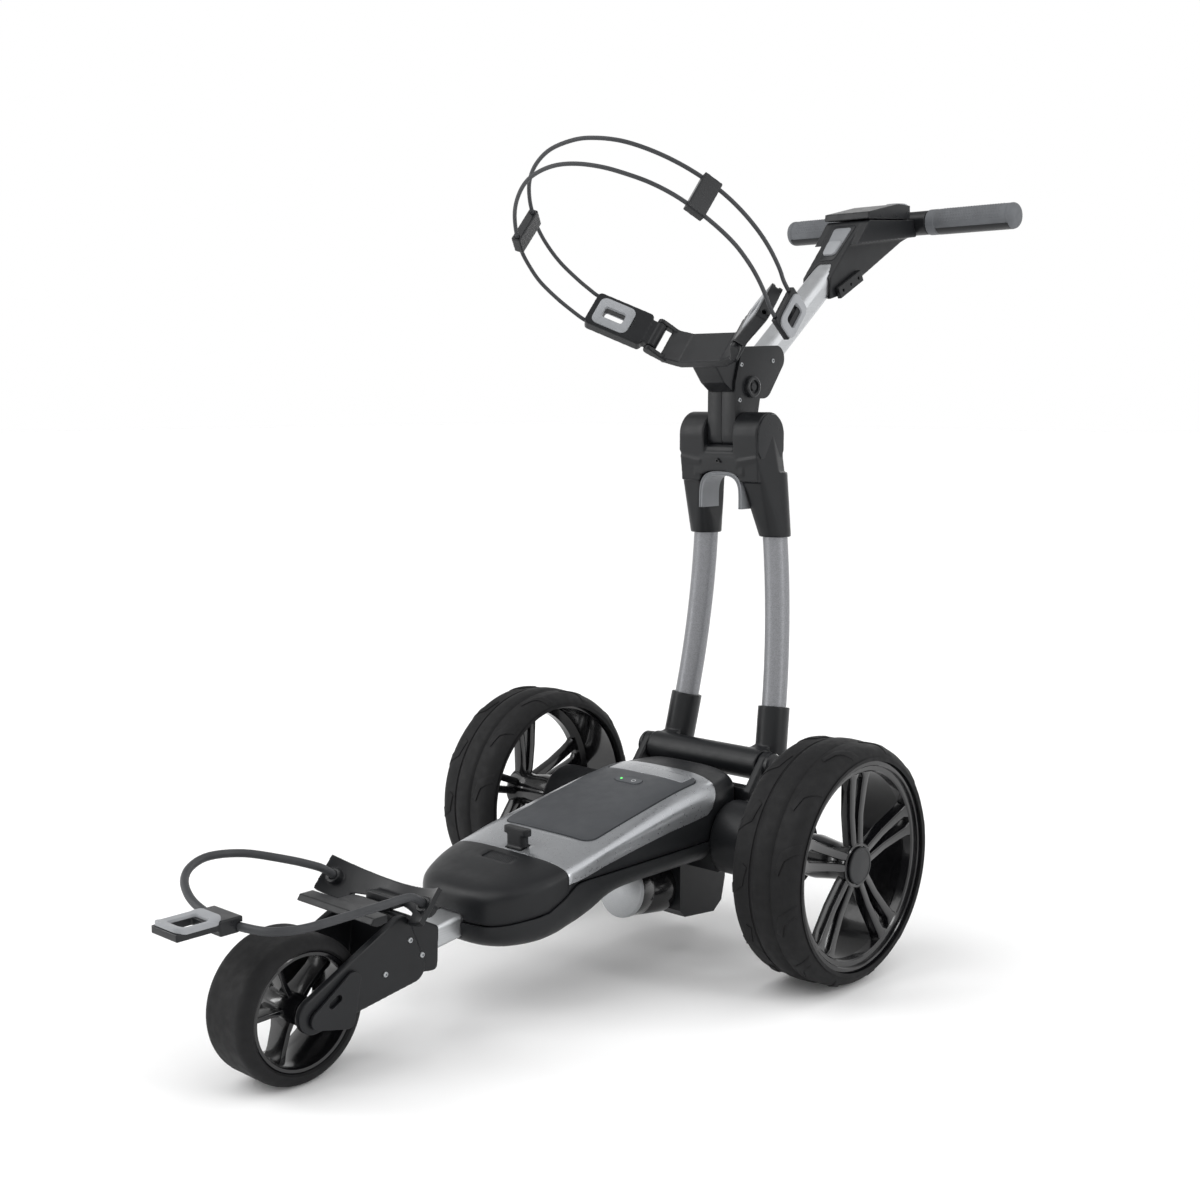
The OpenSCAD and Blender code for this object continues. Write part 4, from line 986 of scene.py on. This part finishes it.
class TROLLEY_OT_front_wheel(bpy.types.Operator):
    """Smooth front tyre and its spoked rim"""
    bl_idname = "trolley.front_wheel"
    bl_label = "Front wheel"

    def execute(self, context):
        tyre = [(62.1, -33), (64, -35.6)] + arc((63, -22), 14, -90, 0, 8)[1:] + [(76.9, -20), (77, 0)]
        tyre += [(r, -x) for r, x in reversed(tyre[:-1])] + [tyre[0]]
        piece = turned("front_tyre_rubber", tyre, FRONT_AXLE, (1, 0, 0), 128)
        dress(piece, "front_wheel", "tyre", "tyre_rubber", "front_tyre")
        rim = [(57.5, -32), (62, -32), (62, 32), (60.6, 33), (57.5, 32.4), (56.4, 30), (56.4, 18), (55, 12),
               (55, -12), (56.4, -18), (56.4, -30), (57.5, -32)]
        piece = turned("front_rim_barrel", rim, FRONT_AXLE, (1, 0, 0), 128)
        dress(piece, "front_wheel", "gloss", "gloss_black", "front_rim")
        hub = [(11.05, -32), (13, -32), (15, -28), (15, 28), (13, 32), (11.05, 32), (11.05, -32)]
        piece = turned("front_rim_hub", hub, FRONT_AXLE, (1, 0, 0), 64)
        dress(piece, "front_wheel", "gloss", "gloss_black")
        points = []
        for radius, half, reach in ((12, 3.2, 17), (26, 2.7, 14), (46, 2.9, 13), (57.2, 3.8, 14)):
            points += [Vector((x, y, radius)) * MM for x, y in
                       ((-reach, -half), (reach, -half), (reach, half), (-reach, half))]
        faces = [(i * 4 + j, i * 4 + (j + 1) % 4, (i + 1) * 4 + (j + 1) % 4, (i + 1) * 4 + j)
                 for i in range(3) for j in range(4)] + [(3, 2, 1, 0), (12, 13, 14, 15)]
        spoke = bevelled(tidied(mesh_piece("front_rim_spokes", points, faces)), 1.0, 3, 40)
        round_wheel(spoke, SPOKES, math.radians(20), FRONT_AXLE, "gloss")
        dress(spoke, "front_wheel", "gloss", "gloss_black")
        return {"FINISHED"}


class TROLLEY_OT_body(bpy.types.Operator):
    """Lower shell, nose cover with its vent, and the silver trim round the battery"""
    bl_idname = "trolley.body"
    bl_label = "Body"

    def execute(self, context):
        self.shell()
        self.nose()
        self.trim()
        return {"FINISHED"}

    def shell(self):
        """Lower shell, thickened inwards, with a way for the front tube."""
        steps = 30
        rings = []
        for y, half_w, low, top in eased(SHELL_STATIONS):
            top = min(top, parting_height(y) - 0.1)
            rings.append([at(across * half_w, y, top - (top - low) * down)
                          for across, down in squared_arch(steps, SHELL_CORNER)])
        size = steps + 1
        faces = [(i * size + j, (i + 1) * size + j, (i + 1) * size + j + 1, i * size + j + 1)
                 for i in range(len(rings) - 1) for j in range(size - 1)]
        piece = mesh_piece("lower_shell_moulding", [p for ring in rings for p in ring], faces)
        wall = piece.modifiers.new("wall", "SOLIDIFY")
        wall.thickness = 2.5 * MM
        wall.offset = -1
        applied(piece)
        tube = self.tube_way("tube_way")
        cut(piece, "DIFFERENCE", tube)
        dress(tidied(piece, 40), "chassis", "shell", "shell_black", "lower_shell")

    def tube_way(self, name):
        """Clearance for the front tube through the shells."""
        low, high = corners("front_tube")
        half_w = (high.x - low.x) / 2 + 0.6 * MM
        slope = math.radians(7.6)
        points = []
        for along in (-90, 60):
            centre = at(0, -372 + along * math.cos(slope), 109 + along * math.sin(slope))
            up = Vector((0, -math.sin(slope), math.cos(slope))) * 13.8 * MM
            points += [centre + up + Vector((half_w, 0, 0)), centre + up - Vector((half_w, 0, 0)),
                       centre - up - Vector((half_w, 0, 0)), centre - up + Vector((half_w, 0, 0))]
        faces = [(0, 1, 2, 3), (7, 6, 5, 4)] + [(j, j + 4, (j + 1) % 4 + 4, (j + 1) % 4) for j in range(4)]
        return bevelled(tidied(mesh_piece(name, points, faces)), 4, 4)

    def nose(self):
        """Nose cover with a pocket of small studs as its vent."""
        piece = upper_body("nose_cover_moulding", NOSE_STATIONS)
        cut(piece, "DIFFERENCE", self.tube_way("nose_way"))
        vent = prism("vent_pocket", rounded_outline(-23, 23, -318, -300, 4), 150, 190)
        floor = upper_body("vent_floor", NOSE_STATIONS, inset=1.4)
        cut(vent, "DIFFERENCE", floor)
        cut(piece, "DIFFERENCE", vent)
        bevelled(piece, 0.8, 2, 50)
        dress(piece, "chassis", "shell", "shell_black", "nose_cover")
        places = []
        for row in range(7):
            for column in range(17):
                x = -20.5 + column * 2.5 + (row % 2) * 1.25
                y = -316.4 + row * 2.4
                if abs(x) < 21:
                    places.append((at(x, y, top_at(y, x) - 1.5), (0, -0.25, 1)))
        mesh = set_on_points("nose_vent_studs", bpy.data.objects["dome_element"], places, "shell", 0.85)
        dress(mesh, "chassis", "shell", "shell_black")

    def trim(self):
        """Silver crown of the body, and the black skirt that carries on from the nose under it."""
        for name, inset, operation in (("trim_lacquered", 0.0, "DIFFERENCE"),
                                       ("body_skirt", 0.7, "INTERSECT")):
            piece = upper_body(name, TRIM_STATIONS, inset=inset)
            cut(piece, operation, side_prism("trim_line", self.TRIM_LINE, 130))
            hollow = [(y, half_w - 3.5, top - 4, flank - 4)
                      for y, half_w, top, flank in TRIM_STATIONS[1:-1]]
            hollow = [(TRIM_STATIONS[0][0] - 4, 90, 165, 146)] + hollow + [(20, 77, 219, 184)]
            cut(piece, "DIFFERENCE", upper_body("trim_inside", hollow, foot=120))
            cut(piece, "DIFFERENCE", prism("battery_way", battery_plan(1.2), 100, 260))
            plug_y = middle("battery_plug").y / MM - AXLE.y / MM
            way = rounded_outline(-14, 14, plug_y - 9, plug_y + 9, 3)
            cut(piece, "DIFFERENCE", prism("plug_way", way, 100, 260))
            cut(piece, "DIFFERENCE", rod("axle_way", 12, 120, AXLE, 32))
            cut(piece, "DIFFERENCE", prism("gearbox_way", rounded_outline(-41, 41, -30, 60, 3), 100, 177))
            bevelled(piece, 0.8, 2, 50)
            if inset:
                dress(piece, "chassis", "shell", "shell_black", "trim_surround")
            else:
                dress(piece, "chassis", "silver", "silver_trim", "trim_surround")
        places = []
        for side in (-1, 1):
            for row in range(9):
                for column in range(8):
                    y, z = -31 + column * 2.4 + (row % 2) * 1.2, 188 + row * 2.1
                    places.append((at(side * (self.flank_at(y, z) - 0.9), y, z), (side, 0, 0.3)))
        mesh = set_on_points("skirt_vent_studs", bpy.data.objects["dome_element"], places, "shell", 0.9)
        dress(mesh, "chassis", "shell", "shell_black")

    TRIM_LINE = [(-300, 60), (-300, 146), (-290, 149), (-278, 149.6), (-262, 152), (-236, 157.5),
                 (-180, 166), (-120, 174), (-70, 178.5), (-48, 181), (-38, 187), (-30, 200), (-22, 213),
                 (-16, 240), (60, 240), (60, 60)]

    def flank_at(self, y, z):
        """Half width of the upper body at a height above its flank."""
        for first, second in zip(TRIM_STATIONS, TRIM_STATIONS[1:]):
            if first[0] <= y <= second[0]:
                half_w, top, flank = between(first, second, y)
                up = min(0.98, max(0, (z - flank) / (top - flank)))
                return half_w * (1 - up ** SHOULDER) ** (1 / SHOULDER)
        return 90


class TROLLEY_OT_battery(bpy.types.Operator):
    """Battery case with its pad, lamp and grip strip, and the plug in front of it"""
    bl_idname = "trolley.battery"
    bl_label = "Battery"

    def execute(self, context):
        low, high = (corner / MM for corner in corners("battery_case"))
        rear_y = high.y - AXLE.y / MM
        piece = prism("battery_case_moulding", battery_plan(0), low.z, 260)
        cut(piece, "INTERSECT", upper_body("battery_top", TRIM_STATIONS, raised=1.2, foot=60))
        strip = rounded_outline(-62, 62, rear_y - 24, rear_y + 20, 3)
        cut(piece, "DIFFERENCE", prism("strip_way", strip, 180, 260))
        pad_y = rear_y - 52
        pad = rounded_outline(-20.6, 20.6, pad_y - 7.6, pad_y + 7.6, 7.4)
        cut(piece, "DIFFERENCE", prism("pad_way", pad, 190, 260))
        bevelled(piece, 1.0, 3, 50)
        dress(piece, "battery", "battery", "battery_grey", "battery_case")
        self.strip(rear_y)
        self.pad(pad_y)
        self.plug()
        return {"FINISHED"}

    def strip(self, rear_y):
        """Grip strip along the battery's rear edge, hollowed for fingers."""
        plan = rounded_outline(-61, 61, rear_y - 23, rear_y - 1.6, 4)
        piece = prism("battery_grip_strip", plan, 180.6, 260)
        cut(piece, "INTERSECT", upper_body("strip_top", TRIM_STATIONS, raised=0.9, foot=60))
        fingers = rounded_outline(-44, 44, rear_y - 40, rear_y + 20, 3)
        cut(piece, "DIFFERENCE", prism("finger_way", fingers, 100, 204))
        bevelled(piece, 1.2, 3, 50)
        dress(piece, "carry_handle", "silver", "silver_trim", "battery_handle")

    def pad(self, pad_y):
        """Power button pad with its lamp and ring sign."""
        pad = prism("battery_button_pad", rounded_outline(-20, 20, pad_y - 7, pad_y + 7, 6.9), 205, 260)
        cut(pad, "INTERSECT", upper_body("pad_top", TRIM_STATIONS, raised=2.0, foot=60))
        bevelled(pad, 1.0, 3, 50)
        dress(pad, "power_button", "button", "button_grey", "battery_button")
        top = top_at(pad_y) + 1.9
        lamp = turned("battery_lamp", [(0.01, -1), (1.7, -1), (1.7, 0.2), (1.2, 0.7), (0.01, 0.9)],
                      at(-12, pad_y, top - 0.1), (0, -0.18, 1), 24)
        dress(lamp, "power_button", "lamp", "button_grey")
        ring = [(3.0, 0), (3.0, 0.25), (2.4, 0.25), (2.4, 0), (3.0, 0)]
        sign = turned("battery_power_sign", ring, at(8, pad_y, top), (0, -0.18, 1), 32)
        dress(sign, "power_button", "ink", "button_grey")

    def plug(self):
        """Plug in front of the battery."""
        moulded("battery_plug", 0.8, 4, "plug", "shell", "shell_black")


class TROLLEY_OT_drive(bpy.types.Operator):
    """Motor can and its end disc, rear housing, and finishes of the parts inside"""
    bl_idname = "trolley.drive"
    bl_label = "Drive"

    def execute(self, context):
        for finish, nodes in CAD_FINISHES.items():
            for node in nodes:
                mesh = NODES[node].data
                mesh.materials.clear()
                mesh.materials.append(FINISH[finish])
        tilt = math.radians(8)
        axis = Vector((0, math.cos(tilt), -math.sin(tilt)))
        centre = at(0, -104, 80)
        disc = [(0.01, -0.2), (33.4, 0), (34.6, 0.7), (35, 2), (35, 6.6), (34.6, 7), (0.01, 7)]
        piece = turned("motor_end_disc", disc, centre, axis, 96)
        dress(piece, "chassis", "disc", "motor_cap", "motor_end_cap")
        can = [(6, 7.4), (33, 7.4), (34, 8.4), (34, 26), (33.4, 27), (33.4, 29), (34, 30), (34, 70),
               (33, 70), (6, 70), (6, 7.4)]
        piece = turned("motor_can", can, centre, axis, 96)
        dress(piece, "chassis", "can", "motor_black", "motor_case")
        moulded("rear_housing", 1.8, 5, "chassis", "shell", "shell_black")
        return {"FINISHED"}


# Ends of the right leg's bowed stretch, in mm
LEG_KNEE = Vector((73, 114, 290))
LEG_HEAD = Vector((57, 133, 511))


class TROLLEY_OT_mouldings(bpy.types.Operator):
    """Fork, bag cradles, hinges, yoke, neck and the small mouldings"""
    bl_idname = "trolley.mouldings"
    bl_label = "Mouldings"

    PARTS = (
        ("fork", 1.2, 5, "chassis", "nylon", "frame_plastic"),
        ("lower_cradle", 1.0, 4, "chassis", "nylon", "frame_plastic"),
        ("rest_foot", 1.0, 4, "chassis", "nylon", "frame_plastic"),
        ("axle_lever", 0.7, 4, "lever", "nylon", "frame_plastic"),
        ("hinge_barrel", 1.2, 4, "lower_frame", "nylon", "frame_plastic"),
        ("upper_cradle", 1.0, 4, "upper_frame", "nylon", "frame_plastic"),
        ("console_body", 1.2, 5, "upper_frame", "nylon", "frame_plastic"),
        ("console_cover", 1.0, 5, "upper_frame", "cap", "frame_plastic"),
        ("accessory_brackets", 0.7, 3, "upper_frame", "nylon", "frame_plastic"),
        ("t_bar", 1.0, 4, "upper_frame", "nylon", "frame_plastic"),
    )

    def execute(self, context):
        for part in self.PARTS:
            moulded(*part)
        self.neck()
        self.legs()
        self.yoke()
        self.latch()
        self.clips()
        return {"FINISHED"}

    HIP = Vector((0, 112, 640))
    LATCH_WAY, LATCH_FRONT = 4.7, 90
    ARCH_TOP, ARCH_FOOT, ARCH_HALF_W = 593, 556, 35.4

    def arch_outline(self, shrink, foot, travel=0.0):
        """Front outline of the arch between the sleeves: (x, z), from right foot to left foot."""
        half_w, rise = self.ARCH_HALF_W - shrink, self.ARCH_TOP - shrink - self.ARCH_FOOT
        crown = [(across * half_w, self.ARCH_FOOT + travel + rise * up)
                 for across, up in squared_arch(24, SHELL_CORNER)]
        return [(half_w, foot)] + crown + [(-half_w, foot)]

    def yoke(self):
        """Yoke whose cheeks flow into the two sleeves, over a wide arch."""
        piece = node_copy("yoke")
        for side in (-1, 1):
            hip = Vector((side * LEG_HEAD.x, LEG_HEAD.y, LEG_HEAD.z))
            knee = Vector((side * LEG_KNEE.x, LEG_KNEE.y, LEG_KNEE.z))
            along = (knee - hip).normalized()
            mesh = bmesh.new()
            for x, y, z in ((30, 84, 606), (63, 84, 612), (30, 140, 606), (63, 140, 612),
                            (63, 112, 660), (30, 112, 640)):
                mesh.verts.new(at(side * x, y, z))
            for i in range(24):
                angle = math.tau * i / 24
                ring = hip + along * 2 + Vector((math.cos(angle) * 20.6, math.sin(angle) * 20.6, 0))
                mesh.verts.new(at(*ring))
            bmesh.ops.convex_hull(mesh, input=mesh.verts)
            shoulder = link_piece("shoulder", bpy.data.meshes.new("shoulder"))
            mesh.to_mesh(shoulder.data)
            mesh.free()
            cut(piece, "UNION", tidied(shoulder))
        web = side_prism("web", [(86, 588), (112, 588), (106, 606), (86, 606)], 40)
        cut(piece, "UNION", web)
        front = [(86, 590), (100, 590), (100, 634), (88, 624), (85, 612)]
        lip = side_prism("slot_lip", front, 30)
        cut(lip, "DIFFERENCE", rod("neck_way", 22.6, 60, at(*self.HIP), 64))
        cut(piece, "UNION", lip)
        for travel, front, rear in ((0.4, 60, 90), (self.LATCH_WAY, self.LATCH_FRONT - 1.8, 200)):
            outline = self.arch_outline(0, 440, travel)
            arch = skinned("arch", [[at(x, y, z) for x, z in outline] for y in (front, rear)])
            cut(piece, "DIFFERENCE", arch)
        dress(softened(piece, 1.1, 9), "lower_frame", "nylon", "frame_plastic", "yoke")
        for side, name in SIDES:
            rings = []
            for shrink, x in ((0, 62), (0, 64.2), (0.6, 64.9), (1.6, 65)):
                dome = arc((0, 0), 27 - shrink, 0, 180, 24)
                foot = [(-27 + shrink, -20), (-21, -30 + shrink), (21, -30 + shrink), (27 - shrink, -20)]
                rings.append([at(side * x, self.HIP.y + y, self.HIP.z + z) for y, z in dome + foot])
            cap = skinned("yoke_cap_" + name, rings)
            dress(cap, "lower_frame", "cap", "cap_black", "yoke_caps")
        outer, inner = ((-5, 604), (5, 604), (0, 610)), ((-2.8, 605.2), (2.8, 605.2), (0, 608.4))
        rings = [[at(x, 82.6 + deep, z) for x, z in corner]
                 for corner, deep in ((outer, 2.4), (outer, 0), (inner, 0), (inner, 2.4))]
        sign = skinned("yoke_mark", rings)
        dress(sign, "lower_frame", "cap", "cap_black")

    def latch(self):
        """Grey pull handle that lines the arch from sleeve to sleeve."""
        rings = []
        for y, shrink in ((91.6, 1.8), (90.6, 1.2), (self.LATCH_FRONT, 0), (125, 0), (126, 1.2)):
            band = self.arch_outline(0.5 + shrink, 545) + self.arch_outline(5.6 - shrink, 545)[::-1]
            rings.append([at(x, y, z) for x, z in band])
        piece = skinned("arch_latch_pull", rings)
        dress(piece, "latch", "grey", "latch_grey", "arch_latch")

    def clips(self):
        """Paddles with a window through them, and the grey frame round each window."""
        tilt, rise = math.radians(50), math.radians(37)
        for side, name in SIDES:
            pivot = at(side * 70.4, 42.5, 765)
            along = Vector((side * math.cos(rise), -math.sin(tilt) * math.sin(rise),
                            math.cos(tilt) * math.sin(rise)))
            up = Vector((0, math.cos(tilt), math.sin(tilt)))
            out = along.cross(up) * side

            def place(a, b, lift):
                return pivot + (along * (60 + a) + up * b - out * lift) * MM

            piece = node_copy("clip_" + name)
            window = rounded_plate("window", place, 14.5, 8, 3, -12, 12, crown=0.2)
            cut(piece, "DIFFERENCE", window)
            dress(softened(piece, 0.9, 5), name + "_clip", "nylon", "frame_plastic", "clip_" + name)
            for face in (-1, 1):
                lining = rounded_plate("clip_frame_%s_%s" % (name, "under" if face < 0 else "over"),
                                       lambda a, b, lift: place(a, b, lift * face), 25, 20.5, 9, 5, 8.8,
                                       hole=(14.2, 7.7, 3), crown=1.4)
                dress(lining, name + "_clip", "window", "latch_grey")

    def neck(self):
        """Two halves of the folding neck, with their straight edges bevelled."""
        piece = node_copy("neck_halves")
        mesh = bmesh.new()
        mesh.from_mesh(piece.data)
        bmesh.ops.dissolve_limit(mesh, angle_limit=math.radians(1), verts=mesh.verts, edges=mesh.edges)
        mesh.to_mesh(piece.data)
        mesh.free()
        bevelled(piece, 1.0, 3, 40)
        dress(piece, "upper_frame", "nylon", "frame_plastic", "neck_halves")

    def legs(self):
        """Bowed leg tubes, which run on straight into the barrel's and the yoke's sockets."""
        knee, hip, bow = LEG_KNEE, LEG_HEAD, 6
        for side, name in SIDES:
            chord = hip - knee
            rear = Vector((0, 1, 0)) - chord * (chord.y / chord.length_squared)
            bend = math.atan(4 * bow / chord.length)
            path = [knee - (chord.normalized() * math.cos(bend) + rear.normalized() * math.sin(bend)) * 46]
            path += [knee + chord * (i / 24) + rear.normalized() * (4 * bow * (i / 24) * (1 - i / 24))
                     for i in range(25)]
            path += [hip + (chord.normalized() * math.cos(bend) - rear.normalized() * math.sin(bend)) * 34]
            points = [at(side * p.x, p.y, p.z) for p in path]
            piece = swept("leg_%s_tube" % name, points, 16, 48)
            dress(piece, "lower_frame", "leg", "leg_grey", "leg_" + name)


class TROLLEY_OT_handle(bpy.types.Operator):
    """Rubber grips, face plate and dial"""
    bl_idname = "trolley.handle"
    bl_label = "Handle"

    def execute(self, context):
        self.grips(context.scene.trolley_sizes)
        self.dial()
        self.face_plate()
        return {"FINISHED"}

    def grips(self, sizes):
        """Grips with a dimpled upper side and a smooth strip below."""
        half = (Vector(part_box("grips")[1]).x - HANDLE.x) / MM
        places = []
        pitch = sizes.dimple / MM
        for side, name in SIDES:
            profile = [(11.05, 53), (17, 53), (18, 54.5), (18, 66), (17.2, 67.2), (17.2, 68.6), (17.8, 70),
                       (17.8, half - 12), (17.2, half - 10.4), (18, half - 9)]
            profile += arc((11, half - 7), 7, 0, 90, 6) + [(0.01, half)]
            piece = turned("grip_" + name, profile, HANDLE, (side, 0, 0), 72)
            dress(piece, "upper_frame", "grip", "grip_rubber", "grips")
            for row in range(-7, 8):
                angle = row * pitch / 17.8
                for column in range(int((half - 90) / pitch)):
                    x = side * (76 + column * pitch + (row % 2) * pitch / 2)
                    outward = Vector((0, -math.sin(angle), math.cos(angle)))
                    places.append((HANDLE + Vector((x * MM, 0, 0)) + outward * 17.6 * MM, outward))
            rings = []
            for x, radius in ((68, 17.2), (69.5, 18.25), (half - 8, 18.25), (half - 6.5, 17)):
                belly = [(radius, a) for a in range(216, 325, 6)] + [(16.4, a) for a in range(324, 215, -6)]
                rings.append([HANDLE + Vector((side * x, r * math.cos(math.radians(a)),
                                               r * math.sin(math.radians(a)))) * MM for r, a in belly])
            under = skinned("grip_underside_" + name, rings)
            dress(under, "upper_frame", "nylon", "frame_plastic")
        mesh = set_on_points("grip_dimples", bpy.data.objects["dome_element"], places, "grip", 1.35)
        dress(mesh, "upper_frame", "grip", "grip_rubber")

    def foot_of(self, node):
        """Middle of the underside of a node's box."""
        low, high = corners(node)
        return Vector(((low.x + high.x) / 2, (low.y + high.y) / 2, low.z))

    def dial(self):
        """Knurled speed dial with a push cap in its middle."""
        centre = self.foot_of("dial_ring")
        profile = [(6.3, 0), (15, 0), (16, 1), (16, 4.6), (14.8, 6), (7.4, 6), (6.3, 5.2), (6.3, 0)]
        piece = turned("dial_knob", profile, centre, (0, 0, 1), 72)
        dress(piece, "speed_dial", "grey", "latch_grey", "dial_ring")
        ribs = []
        for i in range(30):
            angle = math.tau * i / 30
            outward = Vector((math.cos(angle), math.sin(angle), 0))
            ribs.append((centre + outward * 15.7 * MM + Vector((0, 0, 2.8 * MM)), outward))
        mesh = set_on_points("dial_ribs", bpy.data.objects["dome_element"], ribs, "grey", 1.2)
        dress(mesh, "speed_dial", "grey", "latch_grey")
        centre = self.foot_of("dial_button")
        profile = [(0.01, 0), (6, 0), (6, 8.6), (5.2, 9.5), (0.01, 9.1)]
        piece = turned("dial_push_cap", profile, centre, (0, 0, 1), 48)
        dress(piece, "dial_push", "button", "button_grey", "dial_button")

    def face_plate(self):
        """Grey plate and push pad on the sloping face of the console that looks at the bag."""
        foot, head = Vector((0, -204, -86)), Vector((0, -131, -5))
        along = (head - foot).normalized()
        out = Vector((0, -along.z, along.y))

        def place(a, b, lift):
            return HANDLE + (foot + along * (66 + a) + out * lift + Vector((b, 0, 0))) * MM

        for name, half_l, half_w, low, high, shift, finish in (
                ("console_recess", 34, 16, -1, 0.9, 0, "cap"),
                ("console_plate", 26, 12.5, 0, 2.2, 2, "grey"),
                ("console_pad", 13, 10.5, 1, 4.0, -12, "window")):
            piece = rounded_plate(name, lambda a, b, lift: place(a + shift, b * (1 + a / 160), lift),
                                  half_l, half_w, 5, low, high)
            dress(piece, "upper_frame", finish, "latch_grey")


class TROLLEY_OT_fasteners(bpy.types.Operator):
    """Screws, hinge bolts and the neck knobs"""
    bl_idname = "trolley.fasteners"
    bl_label = "Fasteners"

    def execute(self, context):
        element = bpy.data.objects["screw_element"]
        groups = (
            ("fork_screws", "chassis", 3.2, [(side * 48.9, y, z) for side in (-1, 1)
                                             for y, z in ((-486, 124), (-470, 104), (-520, 96))]),
            ("neck_screws", "upper_frame", 3.0, [(side * 22.1, y, z) for side in (-1, 1)
                                                 for y, z in ((103, 729), (170, 735), (100, 684))]),
        )
        for name, body, size, spots in groups:
            places = [(at(*spot), (math.copysign(1, spot[0]), 0, 0)) for spot in spots]
            dress(set_on_points(name, element, places, "steel", size), body, "steel", "steel")
        self.hinge_caps()
        self.knobs()
        return {"FINISHED"}

    def hinge_caps(self):
        """Pin of the lower fold and the black cap over each of its ends."""
        low, high = corners("lower_hinge_pin")
        centre = (low + high) / 2
        reach = (high.x - centre.x) / MM - 7.6
        shank = rod("lower_hinge_shank", 5.2, reach, centre, 48)
        dress(shank, "chassis", "steel", "steel", "lower_hinge_pin")
        for side, name in SIDES:
            end = centre + Vector((side * (high.x - centre.x), 0, 0))
            profile = [(5.5, -7.5), (17.5, -7.5), (17.5, -3.4), (15.5, -1.2), (11, -0.6), (10.2, -1.8),
                       (5.5, -1.8)]
            cap = turned("barrel_cap_" + name, profile, end, (side, 0, 0), 64)
            dress(cap, "chassis", "cap", "cap_black", "lower_hinge_pin")

    def knobs(self):
        """Round knob on either side of the neck."""
        for side, name in SIDES:
            centre = at(side * 22.2, 124, 701)
            profile = [(0.01, 5.4), (4.6, 5.4), (5.4, 4.6), (5.4, 3.2), (8.4, 3.2), (8.8, 5.6), (11.4, 6.4),
                       (13.4, 5.6), (14.2, 3.4), (14.2, -0.6), (0.01, -0.6)]
            knob = turned("neck_knob_" + name, profile, centre, (side, 0, 0), 64)
            dress(knob, "upper_frame", "cap", "cap_black")


CLASSES = (Look, Sizes, TROLLEY_OT_stage, TROLLEY_OT_straps, TROLLEY_OT_rear_wheels, TROLLEY_OT_front_wheel,
           TROLLEY_OT_body, TROLLEY_OT_battery, TROLLEY_OT_drive, TROLLEY_OT_mouldings, TROLLEY_OT_handle,
           TROLLEY_OT_fasteners)
STEPS = [c for c in CLASSES if issubclass(c, bpy.types.Operator)]


class TROLLEY_PT_panel(bpy.types.Panel):
    """Lists the colours, the sizes and the steps"""
    bl_idname = "TROLLEY_PT_panel"
    bl_label = "Golf trolley"
    bl_space_type = "VIEW_3D"
    bl_region_type = "UI"
    bl_category = "Trolley"

    def draw(self, context):
        for group in (context.scene.trolley_look, context.scene.trolley_sizes):
            for name in group.__annotations__:
                self.layout.prop(group, name)
        for step in STEPS:
            self.layout.operator(step.bl_idname)


def register():
    """Registers the add-on."""
    for item in CLASSES + (TROLLEY_PT_panel,):
        bpy.utils.register_class(item)
    bpy.types.Scene.trolley_look = PointerProperty(type=Look)
    bpy.types.Scene.trolley_sizes = PointerProperty(type=Sizes)


def unregister():
    """Takes the add-on out again."""
    del bpy.types.Scene.trolley_sizes
    del bpy.types.Scene.trolley_look
    for item in reversed(CLASSES + (TROLLEY_PT_panel,)):
        bpy.utils.unregister_class(item)


def main():
    """Builds everything in order."""
    register()
    FINISH.update(make_finishes(bpy.context.scene.trolley_look))
    ring_tree()
    place_tree()
    elements = [screw_head(), dimple_dome()]
    for step in STEPS:
        group, name = step.bl_idname.split(".")
        getattr(getattr(bpy.ops, group), name)()
    for element in elements:
        bpy.data.objects.remove(element)


if __name__ == "__main__":
    main()
